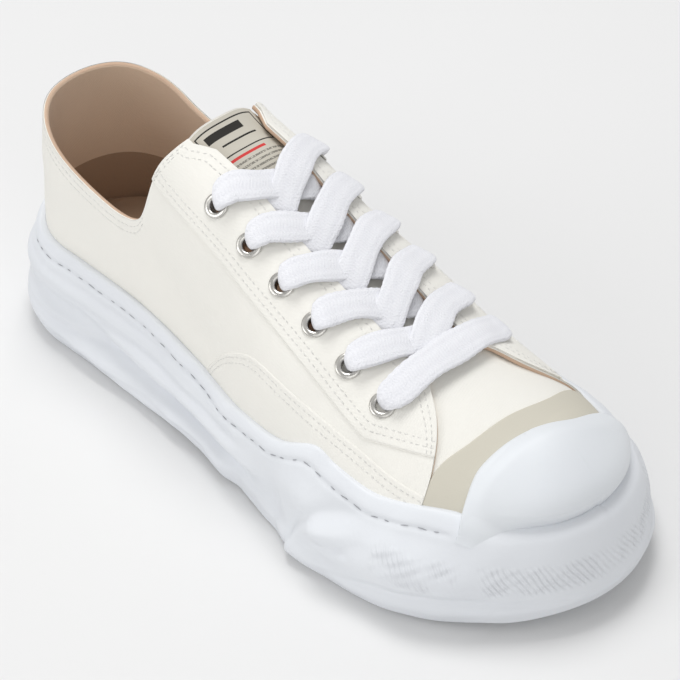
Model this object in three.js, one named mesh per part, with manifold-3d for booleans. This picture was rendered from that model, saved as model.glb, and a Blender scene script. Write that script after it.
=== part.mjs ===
// Low canvas sneaker, right foot, standing empty on its sole.
// Millimetres, +Z up, +Y to the toe, +X to the wearer's right, which is the outer (lateral) side.
// One last function gives the form: a plan outline, a ridge line over the instep and the wall between
// them. Upper, overlays, tongue, toe cap, insole and the hollow of the sole are offsets of that wall.
import * as THREE from "three";
import { mergeVertices } from "three/addons/utils/BufferGeometryUtils.js";
import Module from "manifold-3d";

const wasm = await Module();
wasm.setup();

// Driving sizes
const LAST_LENGTH = 284; // upper, heel to toe, outside
const BALL_WIDTH = 103; // upper at the ball, outside
const INSTEP_HEIGHT = 121; // ridge line above the top eyelets, over the floor
const HEEL_HEIGHT = 98; // collar at the back of the heel, over the floor
const ANKLE_HEIGHT = 79; // lowest point of the collar, over the floor
const WALL = 2.0; // canvas and lining together
const QUARTER_STEP = 1.1; // the quarters stand proud of the vamp by this
const PANEL_STEP = 0.8; // and the side panels proud of the quarters
const GAP = 0.3; // between pieces that meet
const HEEL_FLOOR = 24; // sole under the heel
const TOE_SPRING = 8; // the underside of the sole rises by this at the toe
const RIM_HEIGHT = 42; // top edge of the side of the sole, over the floor
const RIM_THICKNESS = 5;
const SOLE_FLARE = 8; // the sole stands out from the upper by this
const GROOVE_DEPTH = 2.4;
const GROOVE_WIDTH = 4;
const GROOVE_PITCH = 18;
const GROOVE_WAVES = 2; // in the width of the sole
const INSOLE_THICKNESS = 4;
const EYELETS = 6; // on each side
const EYELET_SPAN = 90; // along the foot, from the first to the last
const EYELET_SPREAD = 48.5; // between the top pair
const EYELET_SPREAD_LOW = 60; // between the bottom pair
const EYELET_OUTER = 10;
const EYELET_HOLE = 5.4;
const EYELET_WALL = 0.5;
const EYELET_RISE = 1.0;
const EYESTAY_THICKNESS = 0.9;
const EYESTAY_DROP = 16.5; // from the row of eyelets down to the seam
const EYESTAY_REACH = 40; // from the top eyelets back, past the collar's edge
const THROAT_WIDTH = 25;
const THROAT_FLARE = 4; // the eyestays' top corners open out by this
const THROAT_RUN = 11; // from the lowest eyelets forward to the end of the throat
const LACE_WIDTH = 11;
const LACE_THICKNESS = 2.2;
const LACE_BOW = 3; // the lowest bar bows forward by this
const LACE_STEP = 0.42; // share of the way to the next eyelets where a strand goes under the edge
const LACE_REACH = 1.15; // the upper strand comes down again just before its end
const TONGUE_THICKNESS = 3.2;
const TONGUE_WIDTH = 52;
const TONGUE_RISE = 4; // behind the eyestays' top corners
const TONGUE_CORNER = 8; // radius of its top corners
const TONGUE_ROOT = 14; // its front end, ahead of the throat
const TONGUE_CLIMB = 30; // it rises from the vamp to its full room in this length
const LACE_ROOM = 1.6; // between tongue and eyestay
const LABEL_LENGTH = 42;
const LABEL_WIDTH = 34;
const LABEL_THICKNESS = 0.8;
const LABEL_INSET = 3; // from the tongue's top edge
const BAND_THICKNESS = 0.9;
const BAND_WIDTH = 17;
const CAP_LAP = 5; // the toe cap covers this much of the band
const CAP_THICKNESS = 4.2;

// Sections of the last. at is a share of LAST_LENGTH from the heel. centre, lateral and medial are shares
// of BALL_WIDTH, ridge is a share of INSTEP_HEIGHT, and full is the roundness of the wall.
const SECTIONS = [
  { at: 0, centre: 0, lateral: 0.33, medial: 0.33, ridge: 1.2, full: 2.7 },
  { at: 0.18, centre: 0, lateral: 0.335, medial: 0.315, ridge: 1.16, full: 2.8 },
  { at: 0.27, centre: 0.01, lateral: 0.345, medial: 0.305, ridge: 1.06, full: 3 },
  { at: 0.34, centre: 0.018, lateral: 0.36, medial: 0.308, ridge: 0.975, full: 3.2 },
  { at: 0.43, centre: 0.024, lateral: 0.39, medial: 0.325, ridge: 0.905, full: 3.2 },
  { at: 0.5, centre: 0.024, lateral: 0.435, medial: 0.35, ridge: 0.815, full: 3 },
  { at: 0.606, centre: 0.024, lateral: 0.5, medial: 0.42, ridge: 0.7, full: 2.7 },
  { at: 0.71, centre: 0.02, lateral: 0.525, medial: 0.46, ridge: 0.598, full: 2.35 },
  { at: 0.817, centre: 0, lateral: 0.495, medial: 0.47, ridge: 0.53, full: 2.15 },
  { at: 0.9, centre: -0.03, lateral: 0.45, medial: 0.455, ridge: 0.485, full: 2.1 },
  { at: 1, centre: -0.05, lateral: 0.4, medial: 0.425, ridge: 0.44, full: 2.1 },
];
const HEEL_ROUND = { start: 0.12, power: 2.1 }; // where the ends of the plan begin to close
const TOE_ROUND = { start: 0.82, power: 2.15 };
const HEEL_POLE = 0.09; // the ridge line ends at these shares of LAST_LENGTH
const TOE_POLE = 0.885;

// The sole from heel to toe. floor is a share of HEEL_FLOOR, under a share of TOE_SPRING and rim a share
// of RIM_HEIGHT. The rim runs in slow waves, with a lobe at the ball of the outer side.
const SOLE_SECTIONS = [
  { at: 0, floor: 1, under: 0.15, rim: 1.1 },
  { at: 0.06, floor: 1, under: 0, rim: 1.09 },
  { at: 0.2, floor: 1, under: 0, rim: 1.07 },
  { at: 0.31, floor: 0.96, under: 0, rim: 1.03 },
  { at: 0.41, floor: 0.88, under: 0.25, rim: 0.92 },
  { at: 0.5, floor: 0.78, under: 0.2, rim: 0.865 },
  { at: 0.56, floor: 0.72, under: 0.06, rim: 0.91 },
  { at: 0.62, floor: 0.66, under: 0, rim: 0.98 },
  { at: 0.675, floor: 0.63, under: 0, rim: 1.13 },
  { at: 0.71, floor: 0.63, under: 0, rim: 1.065 },
  { at: 0.775, floor: 0.63, under: 0, rim: 0.98 },
  { at: 0.87, floor: 0.68, under: 0.22, rim: 1.04 },
  { at: 0.94, floor: 0.76, under: 0.6, rim: 0.98 },
  { at: 1, floor: 0.86, under: 1, rim: 0.98 },
];

// Folds and hollows modelled into the side of the sole, one row each. from and to are shares of
// LAST_LENGTH, low and high are heights at those ends as shares of the side, and out is a share of
// SOLE_FLARE, outward or, below zero, inward. wave bends the line, spread is its half height.
const FOLDS = [
  { side: 1, from: 0, to: 0.62, low: 0.64, high: 0.5, wave: 0.045, spread: 0.15, out: 0.38 },
  { side: 1, from: 0, to: 0.5, low: 0.29, high: 0.18, wave: 0.04, spread: 0.14, out: 0.4 },
  { side: 1, from: 0.04, to: 0.6, low: 0.48, high: 0.34, wave: 0.045, spread: 0.13, out: -0.42 },
  { side: 1, from: 0.5, to: 0.66, low: 0.1, high: 0.3, wave: 0, spread: 0.3, out: -0.45 },
  { side: 1, from: 0.6, to: 0.98, low: 0.55, high: 0.4, wave: 0.05, spread: 0.2, out: 0.42 },
  { side: 1, from: 0.64, to: 0.72, low: 0.5, high: 0.46, wave: 0, spread: 0.12, out: -0.42 },
  { side: -1, from: 0, to: 0.5, low: 0.64, high: 0.52, wave: 0.05, spread: 0.15, out: 0.38 },
  { side: -1, from: 0, to: 0.56, low: 0.29, high: 0.2, wave: 0.04, spread: 0.14, out: 0.4 },
  { side: -1, from: 0.05, to: 0.55, low: 0.45, high: 0.38, wave: 0.045, spread: 0.13, out: -0.4 },
  { side: -1, from: 0.52, to: 0.98, low: 0.5, high: 0.4, wave: 0.06, spread: 0.2, out: 0.4 },
];
const FOLD_BENDS = 3; // half waves in a fold
const FOLD_ENDS = 4; // a fold fades out in this fraction of its length at each end
const EDGE_ROUND = 1.6; // bottom and top edges of the sole's side
const STITCH_GROOVE = { drop: 5.5, half: 1.6, depth: 1.1 }; // below the rim, where the sole is sewn on
const LOWER_LIP = { height: 7, half: 4, out: 0.22 }; // the step round the foot of the sole

// Side view of the collar, heel to eyestay. lift is 0 at ANKLE_HEIGHT and 1 at HEEL_HEIGHT.
const COLLAR = [
  { at: -0.1, lift: 1.02 },
  { at: 0.02, lift: 0.98 },
  { at: 0.07, lift: 0.72 },
  { at: 0.14, lift: 0.26 },
  { at: 0.21, lift: 0.02 },
  { at: 0.255, lift: 0.02 },
  { at: 0.28, lift: 0.2 },
  { at: 0.291, lift: 0.55 },
  { at: 0.303, lift: 1.4 },
  { at: 0.319, lift: 1.86 },
  { at: 0.335, lift: 2.15 },
  { at: 0.37, lift: 2.5 },
];
const THROAT_REAR = 0.315; // the throat is cut from here forward
const EYESTAY_CORNER = 0.335; // the eyestays' top corners
const EYELET_FIRST = 0.413; // top eyelets

// Plan of the quarters' front edge, and of the toe band's rear edge. across is a share of BALL_WIDTH.
const QUARTER_FRONT = [
  { across: 0.62, at: 0.855 },
  { across: 0.42, at: 0.838 },
  { across: 0.34, at: 0.83 },
  { across: 0.26, at: 0.812 },
  { across: 0.2, at: 0.79 },
  { across: 0.15, at: 0.762 },
  { across: 0.11, at: 0.742 },
];
const BAND_REAR = [
  { across: 0.62, at: 0.848 },
  { across: 0.35, at: 0.83 },
  { across: 0.2, at: 0.843 },
  { across: 0.04, at: 0.85 },
  { across: -0.14, at: 0.858 },
  { across: -0.35, at: 0.846 },
  { across: -0.62, at: 0.86 },
];
// Side view of the side panels' upper edge. rise is a share of INSTEP_HEIGHT.
const PANEL_TOP = [
  { at: 0.4, rise: 0.2 },
  { at: 0.46, rise: 0.4 },
  { at: 0.5, rise: 0.48 },
  { at: 0.545, rise: 0.515 },
  { at: 0.62, rise: 0.49 },
  { at: 0.72, rise: 0.43 },
  { at: 0.79, rise: 0.385 },
  { at: 0.86, rise: 0.36 },
];

const HEEL_Y = -LAST_LENGTH / 2;
const STATIONS = 21; // along each side of the last
const ROWS = 8; // from the feather edge to the ridge
const SOLE_STATIONS = 34;
const SOLE_LEVELS = [0.06, 0.18, 0.29, 0.39, 0.49, 0.59, 0.7, 0.81, 0.93]; // shares of the side's height
const LINE_STEPS = 12; // along a smooth edge
const CORNER_STEPS = 4; // in a quarter turn
const LACE_STEPS = 7;
const EYELET_SIDES = 10;
const FAR = LAST_LENGTH; // beyond everything
const NEAR = 0.004; // step for slopes, as a share
const SLIVER = 0.02; // faces thinner than this are merged

// A smooth value between the rows of a table.
function along(table, column, at, key = "at") {
  const last = table.length - 1;
  const t = Math.min(Math.max(at, table[0][key]), table[last][key]);
  let i = 0;
  while (i < last - 1 && t > table[i + 1][key]) i++;
  const slope = (k) => {
    const a = table[Math.max(k - 1, 0)];
    const b = table[Math.min(k + 1, last)];
    return (b[column] - a[column]) / (b[key] - a[key]);
  };
  const span = table[i + 1][key] - table[i][key];
  const u = (t - table[i][key]) / span;
  const a = table[i][column];
  const b = table[i + 1][column];
  return (
    a + (b - a) * u * u * (3 - 2 * u) +
    span * u * (1 - u) * (slope(i) * (1 - u) - slope(i + 1) * u)
  );
}

// The same with level ends at each row, so that flats stay flat.
function stepped(table, column, at) {
  const last = table.length - 1;
  const t = Math.min(Math.max(at, table[0].at), table[last].at);
  let i = 0;
  while (i < last - 1 && t > table[i + 1].at) i++;
  const u = (t - table[i].at) / (table[i + 1].at - table[i].at);
  return THREE.MathUtils.lerp(table[i][column], table[i + 1][column], u * u * (3 - 2 * u));
}

const yOf = (at) => HEEL_Y + at * LAST_LENGTH;
const atOf = (y) => (y - HEEL_Y) / LAST_LENGTH;
const floorAt = (at) => stepped(SOLE_SECTIONS, "floor", at) * HEEL_FLOOR;
const underAt = (at) => stepped(SOLE_SECTIONS, "under", at) * TOE_SPRING;
const rimAt = (at) => along(SOLE_SECTIONS, "rim", at) * RIM_HEIGHT;

function endRound(at) {
  const over = Math.max(
    (at - TOE_ROUND.start) / (1 - TOE_ROUND.start),
    (HEEL_ROUND.start - at) / HEEL_ROUND.start,
    0,
  );
  const power = at > TOE_ROUND.start ? TOE_ROUND.power : HEEL_ROUND.power;
  return Math.pow(Math.max(0, 1 - Math.pow(over, power)), 1 / power);
}

// Plan outline of the upper. side is 1 on the outer side and -1 on the inner side.
function outline(at, side) {
  const lateral = along(SECTIONS, "lateral", at) * BALL_WIDTH;
  const medial = along(SECTIONS, "medial", at) * BALL_WIDTH;
  const x = (lateral - medial) / 2 + (side * endRound(at) * (lateral + medial)) / 2;
  return new THREE.Vector3(x, yOf(at), 0);
}

function ridge(at) {
  const held = Math.min(Math.max(at, HEEL_POLE), TOE_POLE);
  return new THREE.Vector3(
    along(SECTIONS, "centre", held) * BALL_WIDTH,
    yOf(held),
    along(SECTIONS, "ridge", held) * INSTEP_HEIGHT,
  );
}

// A point of the wall. turn is 0 at the feather edge and 1 at the ridge.
function wallPoint(at, side, turn) {
  const full = along(SECTIONS, "full", at);
  const angle = (turn * Math.PI) / 2;
  const c = Math.cos(angle);
  const s = Math.sin(angle);
  const radius = Math.pow(Math.pow(Math.abs(c), full) + Math.pow(Math.abs(s), full), -1 / full);
  const foot = outline(at, side);
  const top = ridge(at);
  const base = floorAt(at);
  return new THREE.Vector3(
    top.x + (foot.x - top.x) * radius * c,
    top.y + (foot.y - top.y) * radius * c,
    base + (top.z - base) * radius * s,
  );
}

function ridgeNormal(at) {
  const held = Math.min(Math.max(at, HEEL_POLE + NEAR), TOE_POLE - NEAR);
  const run = ridge(held + NEAR).sub(ridge(held - NEAR));
  return new THREE.Vector3(0, -run.z, run.y).normalize();
}

function wallNormal(at, side, turn) {
  if (turn >= 1 - NEAR) return ridgeNormal(at);
  const low = THREE.MathUtils.clamp(at, NEAR * NEAR, 1 - NEAR * NEAR);
  const before = wallPoint(Math.max(low - NEAR, 0), side, turn);
  const after = wallPoint(Math.min(low + NEAR, 1), side, turn);
  const rise = wallPoint(low, side, Math.min(turn + NEAR, 1)).sub(
    wallPoint(low, side, Math.max(turn - NEAR, 0)),
  );
  if (at <= 0 || at >= 1) {
    const other = wallPoint(at <= 0 ? NEAR : 1 - NEAR, -side, turn);
    if (at <= 0) before.copy(other);
    else after.copy(other);
  }
  const normal = after.sub(before).cross(rise).multiplyScalar(side).normalize();
  if (turn <= 0) normal.setZ(0).normalize();
  return normal;
}

function solidOf(geometry) {
  const plain = geometry.clone();
  for (const name of ["normal", "uv"]) plain.deleteAttribute(name);
  const merged = mergeVertices(plain, 1e-4);
  const index = merged.index.array;
  const kept = [];
  for (let i = 0; i < index.length; i += 3) {
    const [a, b, c] = [index[i], index[i + 1], index[i + 2]];
    if (a !== b && b !== c && c !== a) kept.push(a, b, c);
  }
  return new wasm.Manifold(
    new wasm.Mesh({
      numProp: 3,
      vertProperties: new Float32Array(merged.attributes.position.array),
      triVerts: new Uint32Array(kept),
    }),
  );
}

// A closed solid from rings of points, each ring running the same way round, ends filled by strips
// across from the first half of a ring to the second.
function solidFromRings(rings) {
  const count = rings[0].length;
  const half = count / 2;
  const index = [];
  const id = (ring, k) => ring * count + ((k + count) % count);
  for (let r = 0; r < rings.length - 1; r++)
    for (let k = 0; k < count; k++) {
      index.push(id(r, k), id(r, k + 1), id(r + 1, k + 1));
      index.push(id(r, k), id(r + 1, k + 1), id(r + 1, k));
    }
  for (let k = 0; k < half; k++) {
    const [a, b, c, d] = [k, k + 1, count - k - 1, count - k];
    index.push(id(0, b), id(0, a), id(0, d), id(0, b), id(0, d), id(0, c));
    const top = rings.length - 1;
    index.push(id(top, a), id(top, b), id(top, c), id(top, a), id(top, c), id(top, d));
  }
  const geometry = new THREE.BufferGeometry().setFromPoints(rings.flat());
  geometry.setIndex(index);
  return solidOf(geometry);
}

// Stations round the plan, lateral side from heel to toe and medial side back again.
function around(make, stations = STATIONS) {
  const ring = [];
  for (let k = 0; k < 2 * stations; k++) {
    const step = k <= stations ? k : 2 * stations - k;
    const at = (1 - Math.cos((Math.PI * step) / stations)) / 2;
    ring.push(make(at, k <= stations ? 1 : -1));
  }
  return ring;
}

// The last grown by offset, its underside lift above the sole's inner floor.
function lastSolid(offset, lift = GAP) {
  const grow = typeof offset === "function" ? offset : () => offset;
  const rings = [];
  for (let row = 0; row <= ROWS; row++) {
    const turn = row / ROWS;
    rings.push(
      around((at, side) => {
        const point = wallPoint(at, side, turn);
        point.addScaledVector(wallNormal(at, side, turn), grow(at));
        return point;
      }),
    );
  }
  rings[0].forEach((point) => {
    point.z = floorAt(atOf(THREE.MathUtils.clamp(point.y, HEEL_Y, -HEEL_Y))) + Math.max(lift, 0);
  });
  if (lift < 0) rings.unshift(rings[0].map((point) => point.clone().setZ(point.z + lift)));
  return solidFromRings(rings);
}

// A flat outline pushed through the model. across and up name the two axes that the outline lies in.
function prism(points, across, up, from, to) {
  const shape = new THREE.Shape(points.map(([a, b]) => new THREE.Vector2(a, b)));
  const geometry = new THREE.ExtrudeGeometry(shape, { depth: to - from, bevelEnabled: false });
  const through = across.clone().cross(up);
  geometry.translate(0, 0, from);
  geometry.applyMatrix4(new THREE.Matrix4().makeBasis(across, up, through));
  return solidOf(geometry);
}

const X = new THREE.Vector3(1, 0, 0);
const Y = new THREE.Vector3(0, 1, 0);
const Z = new THREE.Vector3(0, 0, 1);
const plan = (points) => prism(points, X, Y, 0, FAR);
const sideView = (points, from = -FAR, to = FAR) => prism(points, Y, Z, from, to);

// Everything in front of a line that runs across the toe, moved forward by some distance.
function toeRegion(forward) {
  const line = BAND_REAR.map((row) => [row.across * BALL_WIDTH, yOf(row.at) + forward]);
  return plan([...line, [line.at(-1)[0], FAR], [line[0][0], FAR]]);
}

function quarterRegion(extra) {
  const half = QUARTER_FRONT.map((row) => [row.across * BALL_WIDTH, yOf(row.at) + extra]);
  const centre = ridge(QUARTER_FRONT.at(-1).at).x;
  const other = half.map(([x, y]) => [2 * centre - x, y]).reverse();
  return plan([...half, ...other, [-FAR, other.at(-1)[1]], [-FAR, -FAR], [FAR, -FAR], [FAR, half[0][1]]]);
}

function panelRegion(extra) {
  const first = PANEL_TOP[0].at;
  const span = PANEL_TOP.at(-1).at - first;
  const top = [];
  for (let i = 0; i <= LINE_STEPS; i++) {
    const at = first + (span * i) / LINE_STEPS;
    top.push([yOf(at) + extra * (i ? 1 : -1), along(PANEL_TOP, "rise", at) * INSTEP_HEIGHT + extra]);
  }
  return sideView([[top[0][0], 0], [top.at(-1)[0], 0], ...top.reverse()]);
}

// The outside of the upper with its raised quarters and side panels, grown by offset.
function outerForm(offset, edge, lift = GAP) {
  const quarters = lastSolid(offset + QUARTER_STEP, lift).intersect(quarterRegion(edge));
  const panels = lastSolid(offset + QUARTER_STEP + PANEL_STEP, lift)
    .intersect(panelRegion(edge))
    .intersect(quarterRegion(edge));
  return lastSolid(offset, lift).add(quarters).add(panels);
}

function collarCutter() {
  const steps = 2 * LINE_STEPS;
  const line = [];
  const span = COLLAR.at(-1).at - COLLAR[0].at;
  for (let i = 0; i <= steps; i++) {
    const at = COLLAR[0].at + (span * i) / steps;
    const lift = along(COLLAR, "lift", at);
    line.push([yOf(at), ANKLE_HEIGHT + lift * (HEEL_HEIGHT - ANKLE_HEIGHT)]);
  }
  return sideView([...line, [line.at(-1)[0], FAR], [line[0][0], FAR]]);
}

const eyeletY = (i) => yOf(EYELET_FIRST) + (EYELET_SPAN * i) / (EYELETS - 1);
const throatFront = eyeletY(EYELETS - 1) + THROAT_RUN;

function throatCutter() {
  const half = THROAT_WIDTH / 2;
  const rear = yOf(THROAT_REAR);
  const turns = 2 * CORNER_STEPS;
  const flare = half + THROAT_FLARE;
  const corner = yOf(EYESTAY_CORNER);
  const points = [
    [ridge(THROAT_REAR).x + flare, rear],
    [ridge(THROAT_REAR).x + flare, corner],
    [ridge(THROAT_REAR).x + half, corner + 2 * THROAT_FLARE],
  ];
  for (let i = 0; i <= turns; i++) {
    const angle = (Math.PI * i) / turns;
    const centre = ridge(atOf(throatFront - half)).x;
    points.push([centre + half * Math.cos(angle), throatFront - half + half * Math.sin(angle)]);
  }
  points.push(
    [ridge(THROAT_REAR).x - half, corner + 2 * THROAT_FLARE],
    [ridge(THROAT_REAR).x - flare, corner],
    [ridge(THROAT_REAR).x - flare, rear],
  );
  return prism(points, X, Y, RIM_HEIGHT, FAR);
}

// A place on the wall straight above or below x, y, with the way out of the wall there.
function seatAt(x, y) {
  const at = atOf(y);
  const top = ridge(at);
  const side = x > top.x ? 1 : -1;
  const full = along(SECTIONS, "full", at);
  const q = Math.min(Math.abs((x - top.x) / (outline(at, side).x - top.x)), 1);
  const rise = Math.pow(1 - Math.pow(q, full), 1 / full);
  const turn = Math.atan2(rise, q) / (Math.PI / 2);
  return { point: wallPoint(at, side, turn), normal: wallNormal(at, side, turn) };
}

function eyeletSeat(i, side) {
  const share = i / (EYELETS - 1);
  const half = THREE.MathUtils.lerp(EYELET_SPREAD, EYELET_SPREAD_LOW, share) / 2;
  const y = eyeletY(i);
  return seatAt(ridge(atOf(y)).x + side * half, y);
}

const EYESTAY_FACE = QUARTER_STEP + GAP + EYESTAY_THICKNESS; // outside of the eyestay, from the wall
const EYELET_SEAT = EYESTAY_FACE + 2 * GAP; // the flange bridges the curve of the eyestay
const EYELET_TOP = EYELET_SEAT + EYELET_RISE;

function placedAt(seat, geometry) {
  const turn = new THREE.Quaternion().setFromUnitVectors(Y, seat.normal);
  geometry.applyQuaternion(turn);
  geometry.translate(seat.point.x, seat.point.y, seat.point.z);
  return geometry;
}

function eyeletGeometry(seat) {
  const hole = EYELET_HOLE / 2;
  const barrel = hole + EYELET_WALL;
  const rim = EYELET_OUTER / 2;
  const profile = [
    [hole, -WALL],
    [barrel, -WALL],
    [barrel, EYELET_SEAT],
    [rim, EYELET_SEAT],
    [rim - EYELET_WALL, EYELET_TOP],
    [hole, EYELET_TOP],
    [hole, -WALL],
  ];
  const points = profile.map(([r, z]) => new THREE.Vector2(r, z));
  return placedAt(seat, new THREE.LatheGeometry(points, EYELET_SIDES));
}

function eyeletBores() {
  let bores = null;
  for (let i = 0; i < EYELETS; i++)
    for (const side of [1, -1]) {
      const radius = EYELET_HOLE / 2 + EYELET_WALL + 2 * GAP;
      const pin = new THREE.CylinderGeometry(radius, radius, EYELET_OUTER, EYELET_SIDES);
      const bore = solidOf(placedAt(eyeletSeat(i, side), pin));
      bores = bores ? bores.add(bore) : bore;
    }
  return bores;
}

// The strip of the quarter round the eyelets: a plan region inside the seam, which runs
// EYESTAY_DROP below the eyelets along the wall.
function eyestayRegion(side) {
  const rear = atOf(eyeletY(0) - EYESTAY_REACH);
  const front = QUARTER_FRONT[0].at;
  const seam = [];
  for (let i = 0; i <= LINE_STEPS; i++) {
    const at = rear + ((front - rear) * i) / LINE_STEPS;
    const share = Math.min((yOf(at) - eyeletY(0)) / EYELET_SPAN, 1);
    const half = THREE.MathUtils.lerp(EYELET_SPREAD, EYELET_SPREAD_LOW, share) / 2;
    const y = eyeletY(0) + share * EYELET_SPAN;
    const seat = seatAt(ridge(atOf(y)).x + side * half, y);
    const down = seat.normal.clone().cross(Y).multiplyScalar(-side).normalize();
    const low = seat.point.clone().addScaledVector(down, EYESTAY_DROP);
    seam.push([yOf(at), low.z]);
  }
  const region = [...seam, [yOf(front), FAR], [yOf(rear), FAR]];
  return side > 0 ? sideView(region, 0, FAR) : sideView(region, -FAR, 0);
}

function eyestaySolid(side) {
  return lastSolid(EYESTAY_FACE)
    .subtract(lastSolid(QUARTER_STEP + GAP))
    .intersect(eyestayRegion(side))
    .intersect(quarterRegion(-EYESTAY_THICKNESS))
    .subtract(collarCutter())
    .subtract(throatCutter())
    .subtract(eyeletBores());
}

// The side of the sole. Level h runs from 0 at the floor to 1 at the rim.
function sideStandOff(at, side, h) {
  const rise = h * (rimAt(at) - underAt(at));
  let out = THREE.MathUtils.lerp(SOLE_FLARE, RIM_THICKNESS, h * h);
  for (const fold of FOLDS) {
    if (fold.side !== side || at > fold.to || at < fold.from) continue;
    const share = (at - fold.from) / (fold.to - fold.from);
    const fadeIn = fold.from ? Math.min(1, share * FOLD_ENDS) : 1;
    const fade = fadeIn * Math.min(1, (1 - share) * FOLD_ENDS);
    const bend = fold.wave * Math.sin(share * Math.PI * FOLD_BENDS);
    const line = THREE.MathUtils.lerp(fold.low, fold.high, share) + bend;
    const reach = (h - line) / fold.spread;
    out += SOLE_FLARE * fold.out * fade * Math.exp(-reach * reach);
  }
  const lip = (rise - LOWER_LIP.height) / LOWER_LIP.half;
  out += SOLE_FLARE * LOWER_LIP.out * Math.exp(-lip * lip);
  const groove = (rimAt(at) - underAt(at) - rise - STITCH_GROOVE.drop) / STITCH_GROOVE.half;
  return out - STITCH_GROOVE.depth * Math.exp(-groove * groove);
}

// Where the wall stands at a height, pushed out level by some distance.
function besideWall(at, side, z, out) {
  const full = along(SECTIONS, "full", at);
  const top = ridge(at);
  const base = floorAt(at);
  const rise = THREE.MathUtils.clamp((z - base) / (top.z - base), 0, 0.98);
  const q = Math.pow(1 - Math.pow(rise, full), 1 / full);
  const foot = outline(at, side);
  const point = new THREE.Vector3(top.x + (foot.x - top.x) * q, top.y + (foot.y - top.y) * q, z);
  const away = wallNormal(at, side, 0);
  return point.addScaledVector(away, out);
}

function soleBlock(extra = 0) {
  const ring = (level, inset) =>
    around((at, side) => {
      const low = underAt(at);
      const z = low + level * (rimAt(at) - low) + (level === 1 ? extra : 0);
      return besideWall(at, side, z, sideStandOff(at, side, level) - inset + extra);
    }, SOLE_STATIONS);
  const rings = [ring(0, EDGE_ROUND)];
  for (const level of SOLE_LEVELS) rings.push(ring(level, 0));
  rings.push(ring(1, EDGE_ROUND));
  return solidFromRings(rings);
}

// Waved grooves across heel and ball, each inside a border of plain rubber.
function treadCutter() {
  const border = GROOVE_PITCH / 2;
  const fine = 2 * CORNER_STEPS;
  const depth = 2 * GROOVE_DEPTH;
  let all = null;
  for (let y = HEEL_Y + GROOVE_PITCH; y < -HEEL_Y - 2 * GROOVE_PITCH; y += GROOVE_PITCH) {
    const at = atOf(y);
    const right = outline(at, 1).x + SOLE_FLARE - border;
    const left = outline(at, -1).x - SOLE_FLARE + border;
    const line = (k, shift) => {
      const share = k / fine;
      const wave = GROOVE_WIDTH * Math.sin(share * 2 * GROOVE_WAVES * Math.PI);
      return [THREE.MathUtils.lerp(left, right, share), y + wave + shift];
    };
    const points = [];
    for (let k = 0; k <= fine; k++) points.push(line(k, -GROOVE_WIDTH / 2));
    for (let k = fine; k >= 0; k--) points.push(line(k, GROOVE_WIDTH / 2));
    const groove = prism(points, X, Y, underAt(at) + GROOVE_DEPTH - depth, underAt(at) + GROOVE_DEPTH);
    all = all ? all.add(groove) : groove;
  }
  return all;
}

function soleSolid() {
  return soleBlock().subtract(outerForm(GAP, GAP, 0)).subtract(treadCutter()).simplify(SLIVER);
}

function upperSolid() {
  const inside = lastSolid(-WALL, -HEEL_FLOOR);
  return outerForm(0, 0)
    .subtract(inside)
    .subtract(collarCutter())
    .subtract(throatCutter())
    .subtract(eyeletBores());
}

function insoleSolid() {
  return lastSolid(-WALL - GAP, GAP).subtract(lastSolid(SOLE_FLARE, GAP + INSOLE_THICKNESS));
}

function bandSolid() {
  return lastSolid(GAP + BAND_THICKNESS)
    .subtract(lastSolid(GAP))
    .intersect(toeRegion(0))
    .subtract(toeRegion(BAND_WIDTH))
    .subtract(quarterRegion(GAP))
    .subtract(soleBlock(GAP));
}

function capSolid() {
  return lastSolid(CAP_THICKNESS)
    .subtract(lastSolid(GAP + BAND_THICKNESS + GAP))
    .intersect(toeRegion(BAND_WIDTH - CAP_LAP))
    .subtract(soleBlock(GAP));
}

// The tongue lies under the eyestays with room for the lace, and closes up to the vamp in front.
const tongueFront = throatFront + TONGUE_ROOT;
function tongueDepth(at) {
  const share = THREE.MathUtils.smoothstep(throatFront + THROAT_FLARE - yOf(at), 0, TONGUE_CLIMB);
  return WALL + GAP + LACE_ROOM * share;
}

function tongueRegion() {
  const rear = yOf(EYESTAY_CORNER) - TONGUE_RISE;
  const half = TONGUE_WIDTH / 2;
  const radius = TONGUE_CORNER;
  const turns = CORNER_STEPS;
  const points = [];
  const cx = ridge(EYESTAY_CORNER).x;
  const fx = ridge(atOf(tongueFront)).x;
  for (let i = 0; i <= turns; i++) {
    const angle = (Math.PI / 2) * (i / turns);
    points.push([cx + half - radius + radius * Math.sin(angle), rear + radius - radius * Math.cos(angle)]);
  }
  points.push([fx + half - radius, tongueFront], [fx - half + radius, tongueFront]);
  for (let i = turns; i >= 0; i--) {
    const angle = (Math.PI / 2) * (i / turns);
    points.push([cx - half + radius - radius * Math.sin(angle), rear + radius - radius * Math.cos(angle)]);
  }
  return prism(points, X, Y, RIM_HEIGHT, FAR);
}

function tongueSolid() {
  return lastSolid((at) => -tongueDepth(at))
    .subtract(lastSolid((at) => -tongueDepth(at) - TONGUE_THICKNESS))
    .intersect(tongueRegion());
}

function labelSolid() {
  const rear = yOf(EYESTAY_CORNER) - TONGUE_RISE + LABEL_INSET;
  const cx = ridge(EYESTAY_CORNER).x;
  const half = LABEL_WIDTH / 2;
  const patch = [
    [cx - half, rear],
    [cx + half, rear],
    [cx + half, rear + LABEL_LENGTH],
    [cx - half, rear + LABEL_LENGTH],
  ];
  return lastSolid((at) => GAP + LABEL_THICKNESS - tongueDepth(at))
    .subtract(lastSolid((at) => GAP - tongueDepth(at)))
    .intersect(prism(patch, X, Y, RIM_HEIGHT, FAR));
}

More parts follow.
